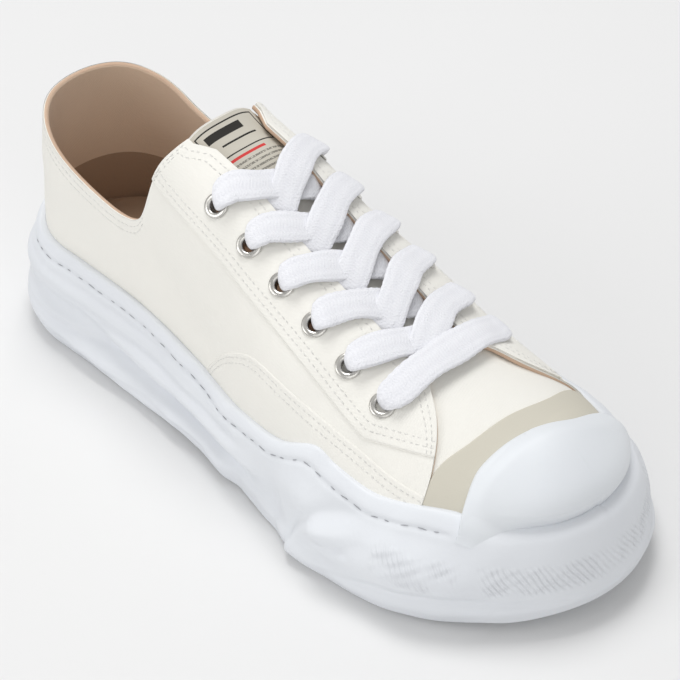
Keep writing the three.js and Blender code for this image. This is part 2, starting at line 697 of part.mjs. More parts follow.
// A flat ribbon through points on the wall. Each point is x, y and a height over the wall.
function ribbon(stops) {
  const rings = stops.map(([x, y, height], i) => {
    const seat = seatAt(x, y);
    const centre = seat.point.clone().addScaledVector(seat.normal, height);
    const before = stops[Math.max(i - 1, 0)];
    const after = stops[Math.min(i + 1, stops.length - 1)];
    const run = new THREE.Vector3(after[0] - before[0], after[1] - before[1], 0);
    run.addScaledVector(seat.normal, -run.dot(seat.normal)).normalize();
    const across = seat.normal.clone().cross(run).normalize();
    const w = LACE_WIDTH / 2;
    const t = LACE_THICKNESS / 2;
    const section = [[w, 0], [w - t, t], [t - w, t], [-w, 0], [t - w, -t], [w - t, -t]];
    return section.map(([a, b]) =>
      centre.clone().addScaledVector(across, a).addScaledVector(seat.normal, b),
    );
  });
  return solidFromRings(rings);
}

const LACE_LOW = EYELET_TOP + 3 * GAP + LACE_THICKNESS / 2;
const LACE_HIGH = LACE_LOW + LACE_THICKNESS - GAP;
function laceStrand(i, side) {
  const from = eyeletSeat(i, side).point;
  const y = THREE.MathUtils.lerp(eyeletY(i), eyeletY(i + 1), LACE_STEP);
  const centre = ridge(atOf(y)).x;
  const end = centre - side * (THROAT_WIDTH / 2 - LACE_WIDTH / 2);
  const stops = [];
  for (let k = 0; k < LACE_STEPS; k++) {
    const share = k / (LACE_STEPS - 1);
    const x = THREE.MathUtils.lerp(from.x, end, share);
    const hump = Math.sin(Math.PI * Math.min(1, share * LACE_REACH));
    const height = side > 0 ? LACE_LOW : THREE.MathUtils.lerp(LACE_LOW, LACE_HIGH, hump);
    stops.push([x, THREE.MathUtils.lerp(from.y, y, share), height]);
  }
  return ribbon(stops);
}

function laceBar() {
  const i = EYELETS - 1;
  const from = eyeletSeat(i, 1).point;
  const to = eyeletSeat(i, -1).point;
  const stops = [];
  for (let k = 0; k <= LACE_STEPS; k++) {
    const share = k / LACE_STEPS;
    const bow = LACE_BOW * Math.sin(Math.PI * share);
    stops.push([THREE.MathUtils.lerp(from.x, to.x, share), from.y + bow, LACE_LOW]);
  }
  return ribbon(stops);
}

function meshOf(name, solid, look) {
  const made = solid.getMesh();
  const positions = new Float32Array(made.numVert * 3);
  for (let i = 0; i < made.numVert; i++)
    positions.set(made.vertProperties.subarray(i * made.numProp, i * made.numProp + 3), i * 3);
  const geometry = new THREE.BufferGeometry();
  geometry.setAttribute("position", new THREE.BufferAttribute(positions, 3));
  geometry.setIndex(new THREE.BufferAttribute(made.triVerts, 1));
  geometry.computeVertexNormals();
  const mesh = new THREE.Mesh(geometry, new THREE.MeshStandardMaterial(look));
  mesh.name = name;
  return mesh;
}

const canvas = { color: 0xedece4, roughness: 0.95, metalness: 0 };
const liner = { color: 0xc9a98b, roughness: 0.9, metalness: 0 };
const rubber = { color: 0xdde1e6, roughness: 0.55, metalness: 0 };
const tape = { color: 0xd2cfc0, roughness: 0.85, metalness: 0 };
const nickel = { color: 0xb4b2aa, roughness: 0.3, metalness: 1 };
const cotton = { color: 0xe9eaef, roughness: 0.95, metalness: 0 };
const woven = { color: 0xc6c1b2, roughness: 0.9, metalness: 0 };

const shoe = new THREE.Group();
shoe.add(meshOf("sole", soleSolid(), rubber));
shoe.add(meshOf("upper", upperSolid(), canvas));
shoe.add(meshOf("insole", insoleSolid(), liner));
shoe.add(meshOf("tongue", tongueSolid(), canvas));
shoe.add(meshOf("tongue_label", labelSolid(), woven));
shoe.add(meshOf("toe_band", bandSolid(), tape));
shoe.add(meshOf("toe_cap", capSolid(), rubber));
for (const [word, side] of [["lateral", 1], ["medial", -1]]) {
  shoe.add(meshOf("eyestay_" + word, eyestaySolid(side), canvas));
  for (let i = 0; i < EYELETS; i++)
    shoe.add(meshOf(`eyelet_${word}_${i + 1}`, solidOf(eyeletGeometry(eyeletSeat(i, side))), nickel));
}
for (let i = 0; i < EYELETS - 1; i++)
  shoe.add(meshOf(`lace_crossing_${i + 1}`, laceStrand(i, 1).add(laceStrand(i, -1)), cotton));
shoe.add(meshOf("lace_bar", laceBar(), cotton));

// The origin is on the floor, under the middle of the shoe's box.
const extent = new THREE.Box3().setFromObject(shoe);
const middle = extent.getCenter(new THREE.Vector3());
shoe.position.set(-middle.x, -middle.y, -extent.min.z);

export default shoe;
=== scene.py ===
"""Looks of the canvas sneaker, right foot. Sizes in millimetres on the last, turned to metres at the end."""
import math

import bmesh
import bpy
import numpy as np
from mathutils import Matrix, Vector


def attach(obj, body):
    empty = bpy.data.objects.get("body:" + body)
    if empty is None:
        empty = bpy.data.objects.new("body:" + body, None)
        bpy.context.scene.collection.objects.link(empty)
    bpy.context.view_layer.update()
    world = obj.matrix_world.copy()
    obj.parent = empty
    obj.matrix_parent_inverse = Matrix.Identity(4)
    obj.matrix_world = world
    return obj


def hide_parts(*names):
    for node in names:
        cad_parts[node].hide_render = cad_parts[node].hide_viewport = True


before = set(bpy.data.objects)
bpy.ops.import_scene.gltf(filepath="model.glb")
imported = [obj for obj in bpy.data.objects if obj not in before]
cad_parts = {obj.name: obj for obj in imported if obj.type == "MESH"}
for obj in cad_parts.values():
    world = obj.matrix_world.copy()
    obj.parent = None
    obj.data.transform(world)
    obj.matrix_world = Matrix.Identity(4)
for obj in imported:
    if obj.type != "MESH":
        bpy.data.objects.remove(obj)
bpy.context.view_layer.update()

MM = 0.001
SHIFT = np.array([-2.6485, 0.8556, 0.0])  # from the last's own axes to the part's origin

# Camera: the photograph's place, turned to take in the whole shoe
PHOTO_SIDE = 680
AIM = np.array([0.0, 60.0, 40.0])
AZIMUTH, ELEVATION, ROLL, DISTANCE = 132.94, 40.18, 0.78, 950.0
PHOTO_FOCAL_PX = 2717.0
FRAMING = 0.94  # a little wider than the photograph, to take in the heel
SENSOR_WIDTH = 36.0
MIDDLE = np.array([-1.8, 9.1, 43.0])  # the middle of the whole shoe


def set_camera():
    turn, lift = math.radians(AZIMUTH), math.radians(ELEVATION)
    back = np.array([math.sin(turn) * math.cos(lift), -math.cos(turn) * math.cos(lift), math.sin(lift)])
    eye = (AIM + back * DISTANCE + SHIFT) * MM
    look = (MIDDLE + SHIFT) * MM - eye
    quat = Vector(look).to_track_quat("-Z", "Y")
    bpy.ops.object.camera_add(location=tuple(eye))
    camera = bpy.context.active_object
    camera.name = "photo_camera"
    roll = Matrix.Rotation(math.radians(-ROLL), 4, "Z")
    camera.matrix_world = Matrix.Translation(eye) @ quat.to_matrix().to_4x4() @ roll
    camera.data.sensor_width = SENSOR_WIDTH
    camera.data.lens = SENSOR_WIDTH * PHOTO_FOCAL_PX * FRAMING / PHOTO_SIDE
    camera.data.clip_start = 0.05
    camera.data.clip_end = 20
    bpy.context.scene.camera = camera


set_camera()

# Sizes of the last, as in the part's source
LAST_LENGTH = 284.0
BALL_WIDTH = 103.0
INSTEP_HEIGHT = 121.0
HEEL_HEIGHT = 98.0
ANKLE_HEIGHT = 79.0
WALL = 2.0
QUARTER_STEP = 1.1
PANEL_STEP = 0.32
GAP = 0.3
HEEL_FLOOR = 24.0
TOE_SPRING = 8.0
RIM_HEIGHT = 42.0
RIM_THICKNESS = 5.0
SOLE_FLARE = 8.0
GROOVE_DEPTH, GROOVE_WIDTH, GROOVE_PITCH = 2.4, 4.0, 18.0
INSOLE_THICKNESS = 4.0
EYELETS = 6
EYELET_SPAN = 90.0
EYELET_SPREAD, EYELET_SPREAD_LOW = 48.5, 60.0
EYELET_OUTER, EYELET_HOLE = 10.0, 5.4
EYESTAY_FACE = 1.9
EYESTAY_DROP = 16.5
THROAT_WIDTH, THROAT_FLARE = 25.0, 4.0
TONGUE_THICKNESS, TONGUE_WIDTH, TONGUE_RISE = 3.2, 52.0, 4.0
LABEL_LENGTH, LABEL_WIDTH = 42.0, 34.0
BAND_WIDTH = 17.0
HEEL_Y = -LAST_LENGTH / 2
SIDES = {1: "lateral", -1: "medial"}  # outer and inner side of the right foot

SECTIONS = np.array([  # at, centre, lateral, medial, ridge, full
    (0, 0, 0.33, 0.33, 1.2, 2.7), (0.18, 0, 0.335, 0.315, 1.16, 2.8),
    (0.27, 0.01, 0.345, 0.305, 1.06, 3), (0.34, 0.018, 0.36, 0.308, 0.975, 3.2),
    (0.43, 0.024, 0.39, 0.325, 0.905, 3.2), (0.5, 0.024, 0.435, 0.35, 0.815, 3),
    (0.606, 0.024, 0.5, 0.42, 0.7, 2.7), (0.71, 0.02, 0.525, 0.46, 0.598, 2.35),
    (0.817, 0, 0.495, 0.47, 0.53, 2.15), (0.9, -0.03, 0.45, 0.455, 0.485, 2.1),
    (1, -0.05, 0.4, 0.425, 0.44, 2.1),
])
HEEL_ROUND, TOE_ROUND = (0.12, 2.1), (0.82, 2.15)
HEEL_POLE, TOE_POLE = 0.09, 0.885
SOLE_SECTIONS = np.array([  # at, floor, under, rim
    (0, 1, 0.15, 1.1), (0.06, 1, 0, 1.09), (0.2, 1, 0, 1.07), (0.31, 0.96, 0, 1.03),
    (0.41, 0.88, 0.25, 0.92), (0.5, 0.78, 0.2, 0.865), (0.56, 0.72, 0.06, 0.91),
    (0.62, 0.66, 0, 0.98), (0.675, 0.63, 0, 1.13), (0.71, 0.63, 0, 1.065), (0.775, 0.63, 0, 0.98),
    (0.87, 0.68, 0.22, 1.04), (0.94, 0.76, 0.6, 0.98), (1, 0.86, 1, 0.98),
])
# Waves of the sole's side: side, from, to, low, high, wave, spread, out
FOLDS = [
    (1, 0, 0.62, 0.64, 0.5, 0.045, 0.15, 0.38), (1, 0, 0.5, 0.29, 0.18, 0.04, 0.14, 0.4),
    (1, 0.04, 0.6, 0.48, 0.34, 0.045, 0.13, -0.42), (1, 0.5, 0.66, 0.1, 0.3, 0, 0.3, -0.45),
    (1, 0.6, 0.98, 0.55, 0.4, 0.05, 0.2, 0.42), (1, 0.64, 0.72, 0.5, 0.46, 0, 0.12, -0.12),
    (-1, 0, 0.5, 0.64, 0.52, 0.05, 0.15, 0.38), (-1, 0, 0.56, 0.29, 0.2, 0.04, 0.14, 0.4),
    (-1, 0.05, 0.55, 0.45, 0.38, 0.045, 0.13, -0.4), (-1, 0.52, 0.98, 0.5, 0.4, 0.06, 0.2, 0.4),
]
# Height of the collar's edge: at, share of the rise from ankle to heel
COLLAR = [
    (-0.1, 1.02), (0.02, 0.98), (0.07, 0.72), (0.14, 0.26), (0.21, 0.02), (0.255, 0.02), (0.28, 0.2),
    (0.291, 0.55), (0.303, 1.4), (0.319, 1.86), (0.335, 2.15), (0.37, 2.5),
]
EYESTAY_CORNER = 0.335
EYELET_FIRST = 0.413
# Front edge of the quarters: distance across in ball widths, at
QUARTER_FRONT = [
    (0.11, 0.742), (0.15, 0.762), (0.2, 0.79), (0.26, 0.812), (0.34, 0.83), (0.42, 0.838), (0.62, 0.855),
]
# Rear edge of the toe band: place across in ball widths, at
BAND_REAR = [
    (-0.62, 0.86), (-0.35, 0.846), (-0.14, 0.858), (0.04, 0.85), (0.2, 0.843), (0.35, 0.83), (0.62, 0.848),
]
# How far in front of the band's rear edge the cap begins: place across, millimetres
CAP_REAR = [
    (-0.62, 14), (-0.3, 13.6), (-0.14, 12.4), (-0.03, 10.2), (0.04, 9),
    (0.15, 8.3), (0.24, 9.4), (0.33, 14.2), (0.39, 16.4), (0.62, 17),
]
# Top edge of the side panels: at, share of the instep height
PANEL_TOP = [
    (0.4, 0.2), (0.46, 0.4), (0.5, 0.48), (0.545, 0.515),
    (0.62, 0.49), (0.72, 0.43), (0.79, 0.385), (0.86, 0.36),
]


def table_curve(rows, column=1, level=False):
    """A smooth curve through the rows of a table, level at each row where asked."""
    rows = np.asarray(rows, float)
    xs, ys = rows[:, 0], rows[:, column]
    slopes = np.zeros(len(xs))
    if not level:
        slopes[1:-1] = (ys[2:] - ys[:-2]) / (xs[2:] - xs[:-2])
        slopes[0] = (ys[1] - ys[0]) / (xs[1] - xs[0])
        slopes[-1] = (ys[-1] - ys[-2]) / (xs[-1] - xs[-2])

    def value(at):
        t = np.clip(at, xs[0], xs[-1])
        i = np.clip(np.searchsorted(xs, t, "right") - 1, 0, len(xs) - 2)
        span = xs[i + 1] - xs[i]
        u = (t - xs[i]) / span
        bend = span * u * (1 - u) * (slopes[i] * (1 - u) - slopes[i + 1] * u)
        return ys[i] + (ys[i + 1] - ys[i]) * u * u * (3 - 2 * u) + bend

    return value


centre_of, lateral_of, medial_of, ridge_of, full_of = [table_curve(SECTIONS, c) for c in range(1, 6)]
floor_of, under_of = [table_curve(SOLE_SECTIONS, c, level=True) for c in (1, 2)]
rim_of = table_curve(SOLE_SECTIONS, 3)
collar_lift = table_curve(COLLAR)
quarter_front = table_curve(QUARTER_FRONT)
band_rear = table_curve(BAND_REAR)
panel_top = table_curve(PANEL_TOP)
cap_lead = table_curve(CAP_REAR)


def y_of(at):
    return HEEL_Y + np.asarray(at) * LAST_LENGTH


def at_of(y):
    return (np.asarray(y) - HEEL_Y) / LAST_LENGTH


def smooth(x):
    x = np.clip(x, 0, 1)
    return x * x * (3 - 2 * x)


def bell(x):
    return np.exp(-x * x)


def round_edge(distance, width):
    """A quarter round, 0 at an edge and 1 from width on."""
    return np.sqrt(np.clip(1 - (1 - np.clip(distance / width, 0, 1)) ** 2, 0, 1))


def unit(v):
    return v / np.maximum(np.linalg.norm(v, axis=-1, keepdims=True), 1e-9)


def end_round(at):
    toe = np.clip((at - TOE_ROUND[0]) / (1 - TOE_ROUND[0]), 0, 1)
    heel = np.clip((HEEL_ROUND[0] - at) / HEEL_ROUND[0], 0, 1)
    front = (1 - toe ** TOE_ROUND[1]) ** (1 / TOE_ROUND[1])
    rear = (1 - heel ** HEEL_ROUND[1]) ** (1 / HEEL_ROUND[1])
    return front * rear


def outline_x(at, side):
    lateral, medial = lateral_of(at) * BALL_WIDTH, medial_of(at) * BALL_WIDTH
    return (lateral - medial) / 2 + side * end_round(at) * (lateral + medial) / 2


def ridge(at):
    held = np.clip(at, HEEL_POLE, TOE_POLE)
    return np.stack([centre_of(held) * BALL_WIDTH, y_of(held), ridge_of(held) * INSTEP_HEIGHT], -1)


def wall(at, side, turn):
    """A point of the last. turn is 0 at the feather edge and 1 at the ridge."""
    at, side, turn = np.broadcast_arrays(np.asarray(at, float), side, turn)
    full = full_of(at)
    c, s = np.abs(np.cos(turn * np.pi / 2)), np.abs(np.sin(turn * np.pi / 2))
    radius = (c ** full + s ** full) ** (-1 / full)
    top = ridge(at)
    base = floor_of(at) * HEEL_FLOOR
    x = top[..., 0] + (outline_x(at, side) - top[..., 0]) * radius * c
    y = top[..., 1] + (y_of(at) - top[..., 1]) * radius * c
    z = base + (top[..., 2] - base) * radius * s
    return np.stack([x, y, z], -1)


def split(s):
    """Place round the plan: -1 inner side at the toe, 0 heel, 1 outer side at the toe."""
    s = (np.asarray(s, float) + 1) % 2 - 1
    return (1 - np.cos(np.pi * np.abs(s))) / 2, np.where(s >= 0, 1.0, -1.0)


def around_of(at, side):
    return side * np.arccos(1 - 2 * np.clip(np.asarray(at, float), 0, 1)) / np.pi


NEAR = 0.003


def ridge_normal(at):
    held = np.clip(at, HEEL_POLE + NEAR, TOE_POLE - NEAR)
    run = ridge(held + NEAR) - ridge(held - NEAR)
    return unit(np.stack([0 * run[..., 0], -run[..., 2], run[..., 1]], -1))


def wall_at(s, turn):
    at, side = split(s)
    return wall(at, side, turn)


def wall_normal(s, turn):
    s, turn = np.broadcast_arrays(np.asarray(s, float), np.asarray(turn, float))
    round_ = wall_at(s + NEAR, turn) - wall_at(s - NEAR, turn)
    up = wall_at(s, np.clip(turn + NEAR, 0, 1)) - wall_at(s, np.clip(turn - NEAR, 0, 1))
    n = np.cross(round_, up)
    size = np.linalg.norm(n, axis=-1, keepdims=True)
    n = n / np.maximum(size, 1e-12)
    at, _ = split(s)
    n = np.where((turn[..., None] >= 1 - NEAR) | (size < 1e-9), ridge_normal(at), n)
    level = n * np.array([1, 1, 0])
    return np.where(turn[..., None] <= 0, unit(level), n)


def skin(s, turn, out):
    return wall_at(s, turn) + wall_normal(s, turn) * np.asarray(out)[..., None]


# The toe seen in plan from its pole, where the ridge ends: each direction's place round the last.
TOE_FAN = np.linspace(-(1 - around_of(TOE_POLE, 1)), 1 - around_of(TOE_POLE, 1), 801)
fan_side = np.where(TOE_FAN >= 0, 1.0, -1.0)
fan_at, _ = split(fan_side - TOE_FAN)
pole = ridge(TOE_POLE)
fan_dx = outline_x(fan_at, fan_side) - pole[0]
fan_dy = y_of(fan_at) - pole[1]
fan_angle = np.arctan2(fan_dx, fan_dy)


def seat(x, y):
    """s and turn of the wall above or below a place in plan."""
    x, y = np.broadcast_arrays(np.asarray(x, float), np.asarray(y, float))
    at = np.clip(at_of(y), HEEL_POLE, 1)
    cx = centre_of(np.clip(at, HEEL_POLE, TOE_POLE)) * BALL_WIDTH
    side = np.where(x >= cx, 1.0, -1.0)
    q = np.abs((x - cx) / (outline_x(np.minimum(at, TOE_POLE), side) - cx))
    s = around_of(at, side)
    dx, dy = x - pole[0], y - pole[1]
    fan = np.interp(np.arctan2(dx, dy), fan_angle, TOE_FAN)
    reach = np.hypot(np.interp(fan, TOE_FAN, fan_dx), np.interp(fan, TOE_FAN, fan_dy))
    front = dy > 0
    q = np.where(front, np.hypot(dx, dy) / reach, q)
    s = np.where(front, np.where(fan >= 0, 1 - fan, -1 - fan), s)
    q = np.clip(q, 0, 1)
    full = full_of(split(s)[0])
    rise = (1 - q ** full) ** (1 / full)
    return s, np.arctan2(rise, q) / (np.pi / 2)


def on_plan(x, y, out):
    s, turn = seat(x, y)
    return skin(s, turn, np.broadcast_to(out, np.shape(turn)))


# Mesh helpers
def only(piece):
    bpy.ops.object.select_all(action="DESELECT")
    piece.select_set(True)
    bpy.context.view_layer.objects.active = piece


def finish_mesh(piece, angle=None):
    only(piece)
    if angle is None:
        bpy.ops.object.shade_smooth()
    else:
        bpy.ops.object.shade_smooth_by_angle(angle=math.radians(angle))
    return piece


def sheet(name, points, uv=None, flip=False, looks=(), rows_of=(), exact=False):
    """A grid primitive whose crossings are moved to points, an array of rows of places on the shoe.

    looks are its finishes. rows_of gives (first row across, finish number) where a sheet has several.
    exact takes the shading from the rows themselves, for sheets with slanted columns.
    """
    if flip:
        points = points[::-1]
        uv = None if uv is None else uv[::-1]
    rows, cols = points.shape[0] - 1, points.shape[1] - 1
    bpy.ops.object.select_all(action="DESELECT")
    bpy.ops.mesh.primitive_grid_add(x_subdivisions=rows, y_subdivisions=cols, size=1)
    piece = bpy.context.active_object
    piece.name = piece.data.name = name
    mesh = piece.data
    for look in looks:
        mesh.materials.append(look)
    if rows_of:
        middle = np.empty(len(mesh.polygons) * 3, np.float32)
        mesh.polygons.foreach_get("center", middle)
        strip = np.floor((middle.reshape(-1, 3)[:, 1] + 0.5) * cols).astype(int)
        index = np.zeros(len(strip), np.int32)
        for first, number in rows_of:
            index[strip >= first] = number
        mesh.polygons.foreach_set("material_index", index)
    place = np.empty(len(mesh.vertices) * 3, np.float32)
    mesh.vertices.foreach_get("co", place)
    place = place.reshape(-1, 3)
    i = np.rint((place[:, 0] + 0.5) * rows).astype(int)
    j = np.rint((place[:, 1] + 0.5) * cols).astype(int)
    mesh.vertices.foreach_set("co", ((points[i, j] + SHIFT) * MM).astype(np.float32).ravel())
    if uv is not None:
        corner = np.empty(len(mesh.loops), np.int32)
        mesh.loops.foreach_get("vertex_index", corner)
        mesh.uv_layers.active.data.foreach_set("uv", uv[i, j][corner].astype(np.float32).ravel())
    mesh.update()
    if exact:
        normals = unit(np.cross(np.gradient(points, axis=0), np.gradient(points, axis=1)))[i, j]
        own = np.empty(len(mesh.vertices) * 3, np.float32)
        mesh.vertex_normals.foreach_get("vector", own)
        if np.sum(own.reshape(-1, 3) * normals) < 0:
            normals = -normals
        mesh.shade_smooth()
        mesh.normals_split_custom_set_from_vertices(normals.tolist())
    return piece


def run_lengths(points, axis):
    step = np.linalg.norm(np.diff(points, axis=axis), axis=-1)
    total = np.cumsum(step, axis=axis)
    return np.concatenate([np.zeros_like(total.take([0], axis=axis)), total], axis=axis)


def cloth_uv(points, middle=None):
    """Thread directions in millimetres, along and across the sheet, measured along one of its rows."""
    middle = points.shape[1] // 2 if middle is None else middle
    along = run_lengths(points[:, middle : middle + 1], 0)
    return np.stack([np.broadcast_to(along, points.shape[:2]), run_lengths(points, 1)], -1)


def thicken(piece, thickness, rim=0, inner=0):
    only(piece)
    mod = piece.modifiers.new("thickness", "SOLIDIFY")
    mod.thickness = thickness * MM
    mod.offset = -1
    mod.use_even_offset = False
    mod.material_offset = inner
    mod.material_offset_rim = rim
    bpy.ops.object.modifier_apply(modifier=mod.name)
    return piece


def weld(piece, distance=0.02, outward=True):
    only(piece)
    bpy.ops.object.mode_set(mode="EDIT")
    bpy.ops.mesh.select_all(action="SELECT")
    bpy.ops.mesh.remove_doubles(threshold=distance * MM)
    if outward:
        bpy.ops.mesh.normals_make_consistent(inside=False)
    bpy.ops.object.mode_set(mode="OBJECT")
    return piece


def join(name, pieces):
    bpy.ops.object.select_all(action="DESELECT")
    for piece in pieces:
        piece.select_set(True)
    bpy.context.view_layer.objects.active = pieces[0]
    bpy.ops.object.join()
    pieces[0].name = pieces[0].data.name = name
    return pieces[0]


def wear(piece, slot, *nodes):
    """Gives a piece its place in the frame."""
    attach(piece, "root")
    if nodes:
        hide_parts(*nodes)
    return piece


# Shader groups and finishes
def new_group(name, inputs, outputs):
    tree = bpy.data.node_groups.new(name, "ShaderNodeTree")
    for label, kind, value in inputs:
        made = tree.interface.new_socket(label, in_out="INPUT", socket_type=kind)
        if value is not None:
            made.default_value = value
    for label, kind in outputs:
        tree.interface.new_socket(label, in_out="OUTPUT", socket_type=kind)
    return tree, tree.nodes.new("NodeGroupInput"), tree.nodes.new("NodeGroupOutput")


def sums(tree, operation, *values, clamp=False):
    """A Math node on sockets or numbers."""
    node = tree.nodes.new("ShaderNodeMath")
    node.operation = operation
    node.use_clamp = clamp
    for i, value in enumerate(values):
        if isinstance(value, (int, float)):
            node.inputs[i].default_value = value
        else:
            tree.links.new(value, node.inputs[i])
    return node.outputs[0]


def blend(tree, factor, a, b):
    """Colour a where factor is 0 and b where it is 1."""
    node = tree.nodes.new("ShaderNodeMix")
    node.data_type = "RGBA"
    tree.links.new(factor, node.inputs[0])
    for i, value in ((6, a), (7, b)):
        if isinstance(value, tuple):
            node.inputs[i].default_value = (*value, 1)
        else:
            tree.links.new(value, node.inputs[i])
    return node.outputs[2]


def spread_out(tree, value, low, high, soft=False):
    """0 to 1 as the value goes from low to high."""
    node = tree.nodes.new("ShaderNodeMapRange")
    if soft:
        node.interpolation_type = "SMOOTHSTEP"
    node.inputs["From Min"].default_value = low
    node.inputs["From Max"].default_value = high
    tree.links.new(value, node.inputs["Value"])
    return node.outputs["Result"]


def noise(tree, vector, scale, detail, rough=0.55):
    node = tree.nodes.new("ShaderNodeTexNoise")
    tree.links.new(vector, node.inputs["Vector"])
    if isinstance(scale, (int, float)):
        node.inputs["Scale"].default_value = scale
    else:
        tree.links.new(scale, node.inputs["Scale"])
    node.inputs["Detail"].default_value = detail
    node.inputs["Roughness"].default_value = rough
    return node.outputs["Fac"]


def split_vector(tree, vector):
    """The first two parts of a vector."""
    parts = tree.nodes.new("ShaderNodeSeparateXYZ")
    tree.links.new(vector, parts.inputs[0])
    return parts.outputs[0], parts.outputs[1]


def make_weave():
    """Plain weave on a UV map in millimetres."""
    tree, start, end = new_group(
        "plain_weave",
        [("UV", "NodeSocketVector", None), ("Pitch", "NodeSocketFloat", 0.6)],
        [("Height", "NodeSocketFloat"), ("Shade", "NodeSocketFloat")],
    )
    along, across = split_vector(tree, start.outputs["UV"])
    turn = sums(tree, "DIVIDE", 2 * math.pi, start.outputs["Pitch"])
    warp = sums(tree, "SINE", sums(tree, "MULTIPLY", along, turn))
    weft = sums(tree, "SINE", sums(tree, "MULTIPLY", across, turn))
    height = sums(tree, "MULTIPLY_ADD", sums(tree, "MULTIPLY", warp, weft), 0.5, 0.5)
    tree.links.new(height, end.inputs["Height"])
    tree.links.new(sums(tree, "POWER", height, 2.0), end.inputs["Shade"])
    return tree


def make_handling():
    """Cloudy marks of handling and a fine grain."""
    tree, start, end = new_group(
        "handling_marks",
        [("Vector", "NodeSocketVector", None), ("Cloud", "NodeSocketFloat", 30.0),
         ("Grain", "NodeSocketFloat", 900.0), ("Swell", "NodeSocketFloat", 95.0)],
        [("Mask", "NodeSocketFloat"), ("Height", "NodeSocketFloat"), ("Slow", "NodeSocketFloat")],
    )
    place = start.outputs["Vector"]
    cloud, grain, swell = [
        noise(tree, place, start.outputs[key], detail, rough=0.5)
        for key, detail in (("Cloud", 4), ("Grain", 2), ("Swell", 3))
    ]
    tree.links.new(spread_out(tree, cloud, 0.42, 0.72), end.inputs["Mask"])
    tree.links.new(grain, end.inputs["Height"])
    tree.links.new(swell, end.inputs["Slow"])
    return tree


RIB_LEAN, CROSS_RIB_LEAN, CROSS_RIB_PITCH = 0.75, 1.9, 0.31
RIB_MIDDLE_HEIGHT = 24.5
RIB_TOE_RUN = 346.0  # run of the sole's edge from the heel, on the outer side, to the toe


def make_ribs():
    """The worn diamond ribbing of the toe bumper, on a UV map of run and height in millimetres."""
    tree, start, end = new_group(
        "bumper_ribs",
        [("UV", "NodeSocketVector", None), ("Pitch", "NodeSocketFloat", 2.5)],
        [("Height", "NodeSocketFloat")],
    )
    place = start.outputs["UV"]
    run, high = split_vector(tree, place)
    turn = sums(tree, "DIVIDE", 2 * math.pi, start.outputs["Pitch"])
    wobble = sums(tree, "MULTIPLY", noise(tree, place, 0.09, 1), 3.0)
    lean = sums(tree, "ADD", sums(tree, "ADD", run, sums(tree, "MULTIPLY", high, RIB_LEAN)), wobble)
    other = sums(tree, "SUBTRACT", run, sums(tree, "MULTIPLY", high, CROSS_RIB_LEAN))
    first = sums(tree, "SINE", sums(tree, "MULTIPLY", lean, turn))
    second = sums(tree, "SINE", sums(tree, "MULTIPLY", other, sums(tree, "MULTIPLY", turn, CROSS_RIB_PITCH)))
    both = sums(tree, "ADD", sums(tree, "MULTIPLY", first, 0.6), sums(tree, "MULTIPLY", second, 0.4))
    from_middle = sums(tree, "ABSOLUTE", sums(tree, "SUBTRACT", high, RIB_MIDDLE_HEIGHT))
    from_toe = sums(tree, "ABSOLUTE", sums(tree, "SUBTRACT", run, RIB_TOE_RUN))
    band = spread_out(tree, from_middle, 7.0, 3.5, soft=True)
    toe = spread_out(tree, from_toe, 95.0, 70.0, soft=True)
    worn = spread_out(tree, noise(tree, place, 0.07, 2), 0.38, 0.56)
    share = sums(tree, "MULTIPLY", sums(tree, "MULTIPLY", band, toe), worn)
    tree.links.new(sums(tree, "MULTIPLY", both, share), end.inputs["Height"])
    return tree


WEAVE = make_weave()
RIBS = make_ribs()
MARKS = make_handling()


def start_look(name, roughness, sheen=0.0, metallic=0.0, specular=0.5):
    look = bpy.data.materials.new(name)
    look.use_nodes = True
    tree = look.node_tree
    shader = tree.nodes["Principled BSDF"]
    shader.inputs["Roughness"].default_value = roughness
    shader.inputs["Metallic"].default_value = metallic
    shader.inputs["Sheen Weight"].default_value = sheen
    shader.inputs["Specular IOR Level"].default_value = specular
    coords = tree.nodes.new("ShaderNodeTexCoord")
    return look, tree, shader, coords


def use_group(tree, which, **values):
    node = tree.nodes.new("ShaderNodeGroup")
    node.node_tree = which
    for key, value in values.items():
        if isinstance(value, (int, float)):
            node.inputs[key].default_value = value
        else:
            tree.links.new(value, node.inputs[key])
    return node


def bump(tree, shader, height, distance, strength=1.0, under=None):
    node = tree.nodes.new("ShaderNodeBump")
    node.inputs["Distance"].default_value = distance * MM
    node.inputs["Strength"].default_value = strength
    tree.links.new(height, node.inputs["Height"])
    if under is not None:
        tree.links.new(under, node.inputs["Normal"])
    tree.links.new(node.outputs[0], shader.inputs["Normal"])
    return node.outputs[0]


FUZZ = 0.1  # millimetres


def cloth_look(name, light, dark, mark, pitch=0.62, depth=0.12, sheen=0.1, mark_share=0.5):
    look, tree, shader, coords = start_look(name, 0.92, sheen=sheen, specular=0.25)
    weave = use_group(tree, WEAVE, UV=coords.outputs["UV"], Pitch=pitch)
    marks = use_group(tree, MARKS, Vector=coords.outputs["Object"], Cloud=38.0, Grain=1400.0)
    thread = blend(tree, weave.outputs["Shade"], dark, light)
    share = sums(tree, "MULTIPLY", marks.outputs["Mask"], mark_share)
    tree.links.new(blend(tree, share, thread, mark), shader.inputs["Base Color"])
    under = bump(tree, shader, marks.outputs["Height"], FUZZ, 0.6)
    bump(tree, shader, weave.outputs["Height"], depth, 0.8, under)
    return look


RUBBER_ROUGHNESS = 0.44


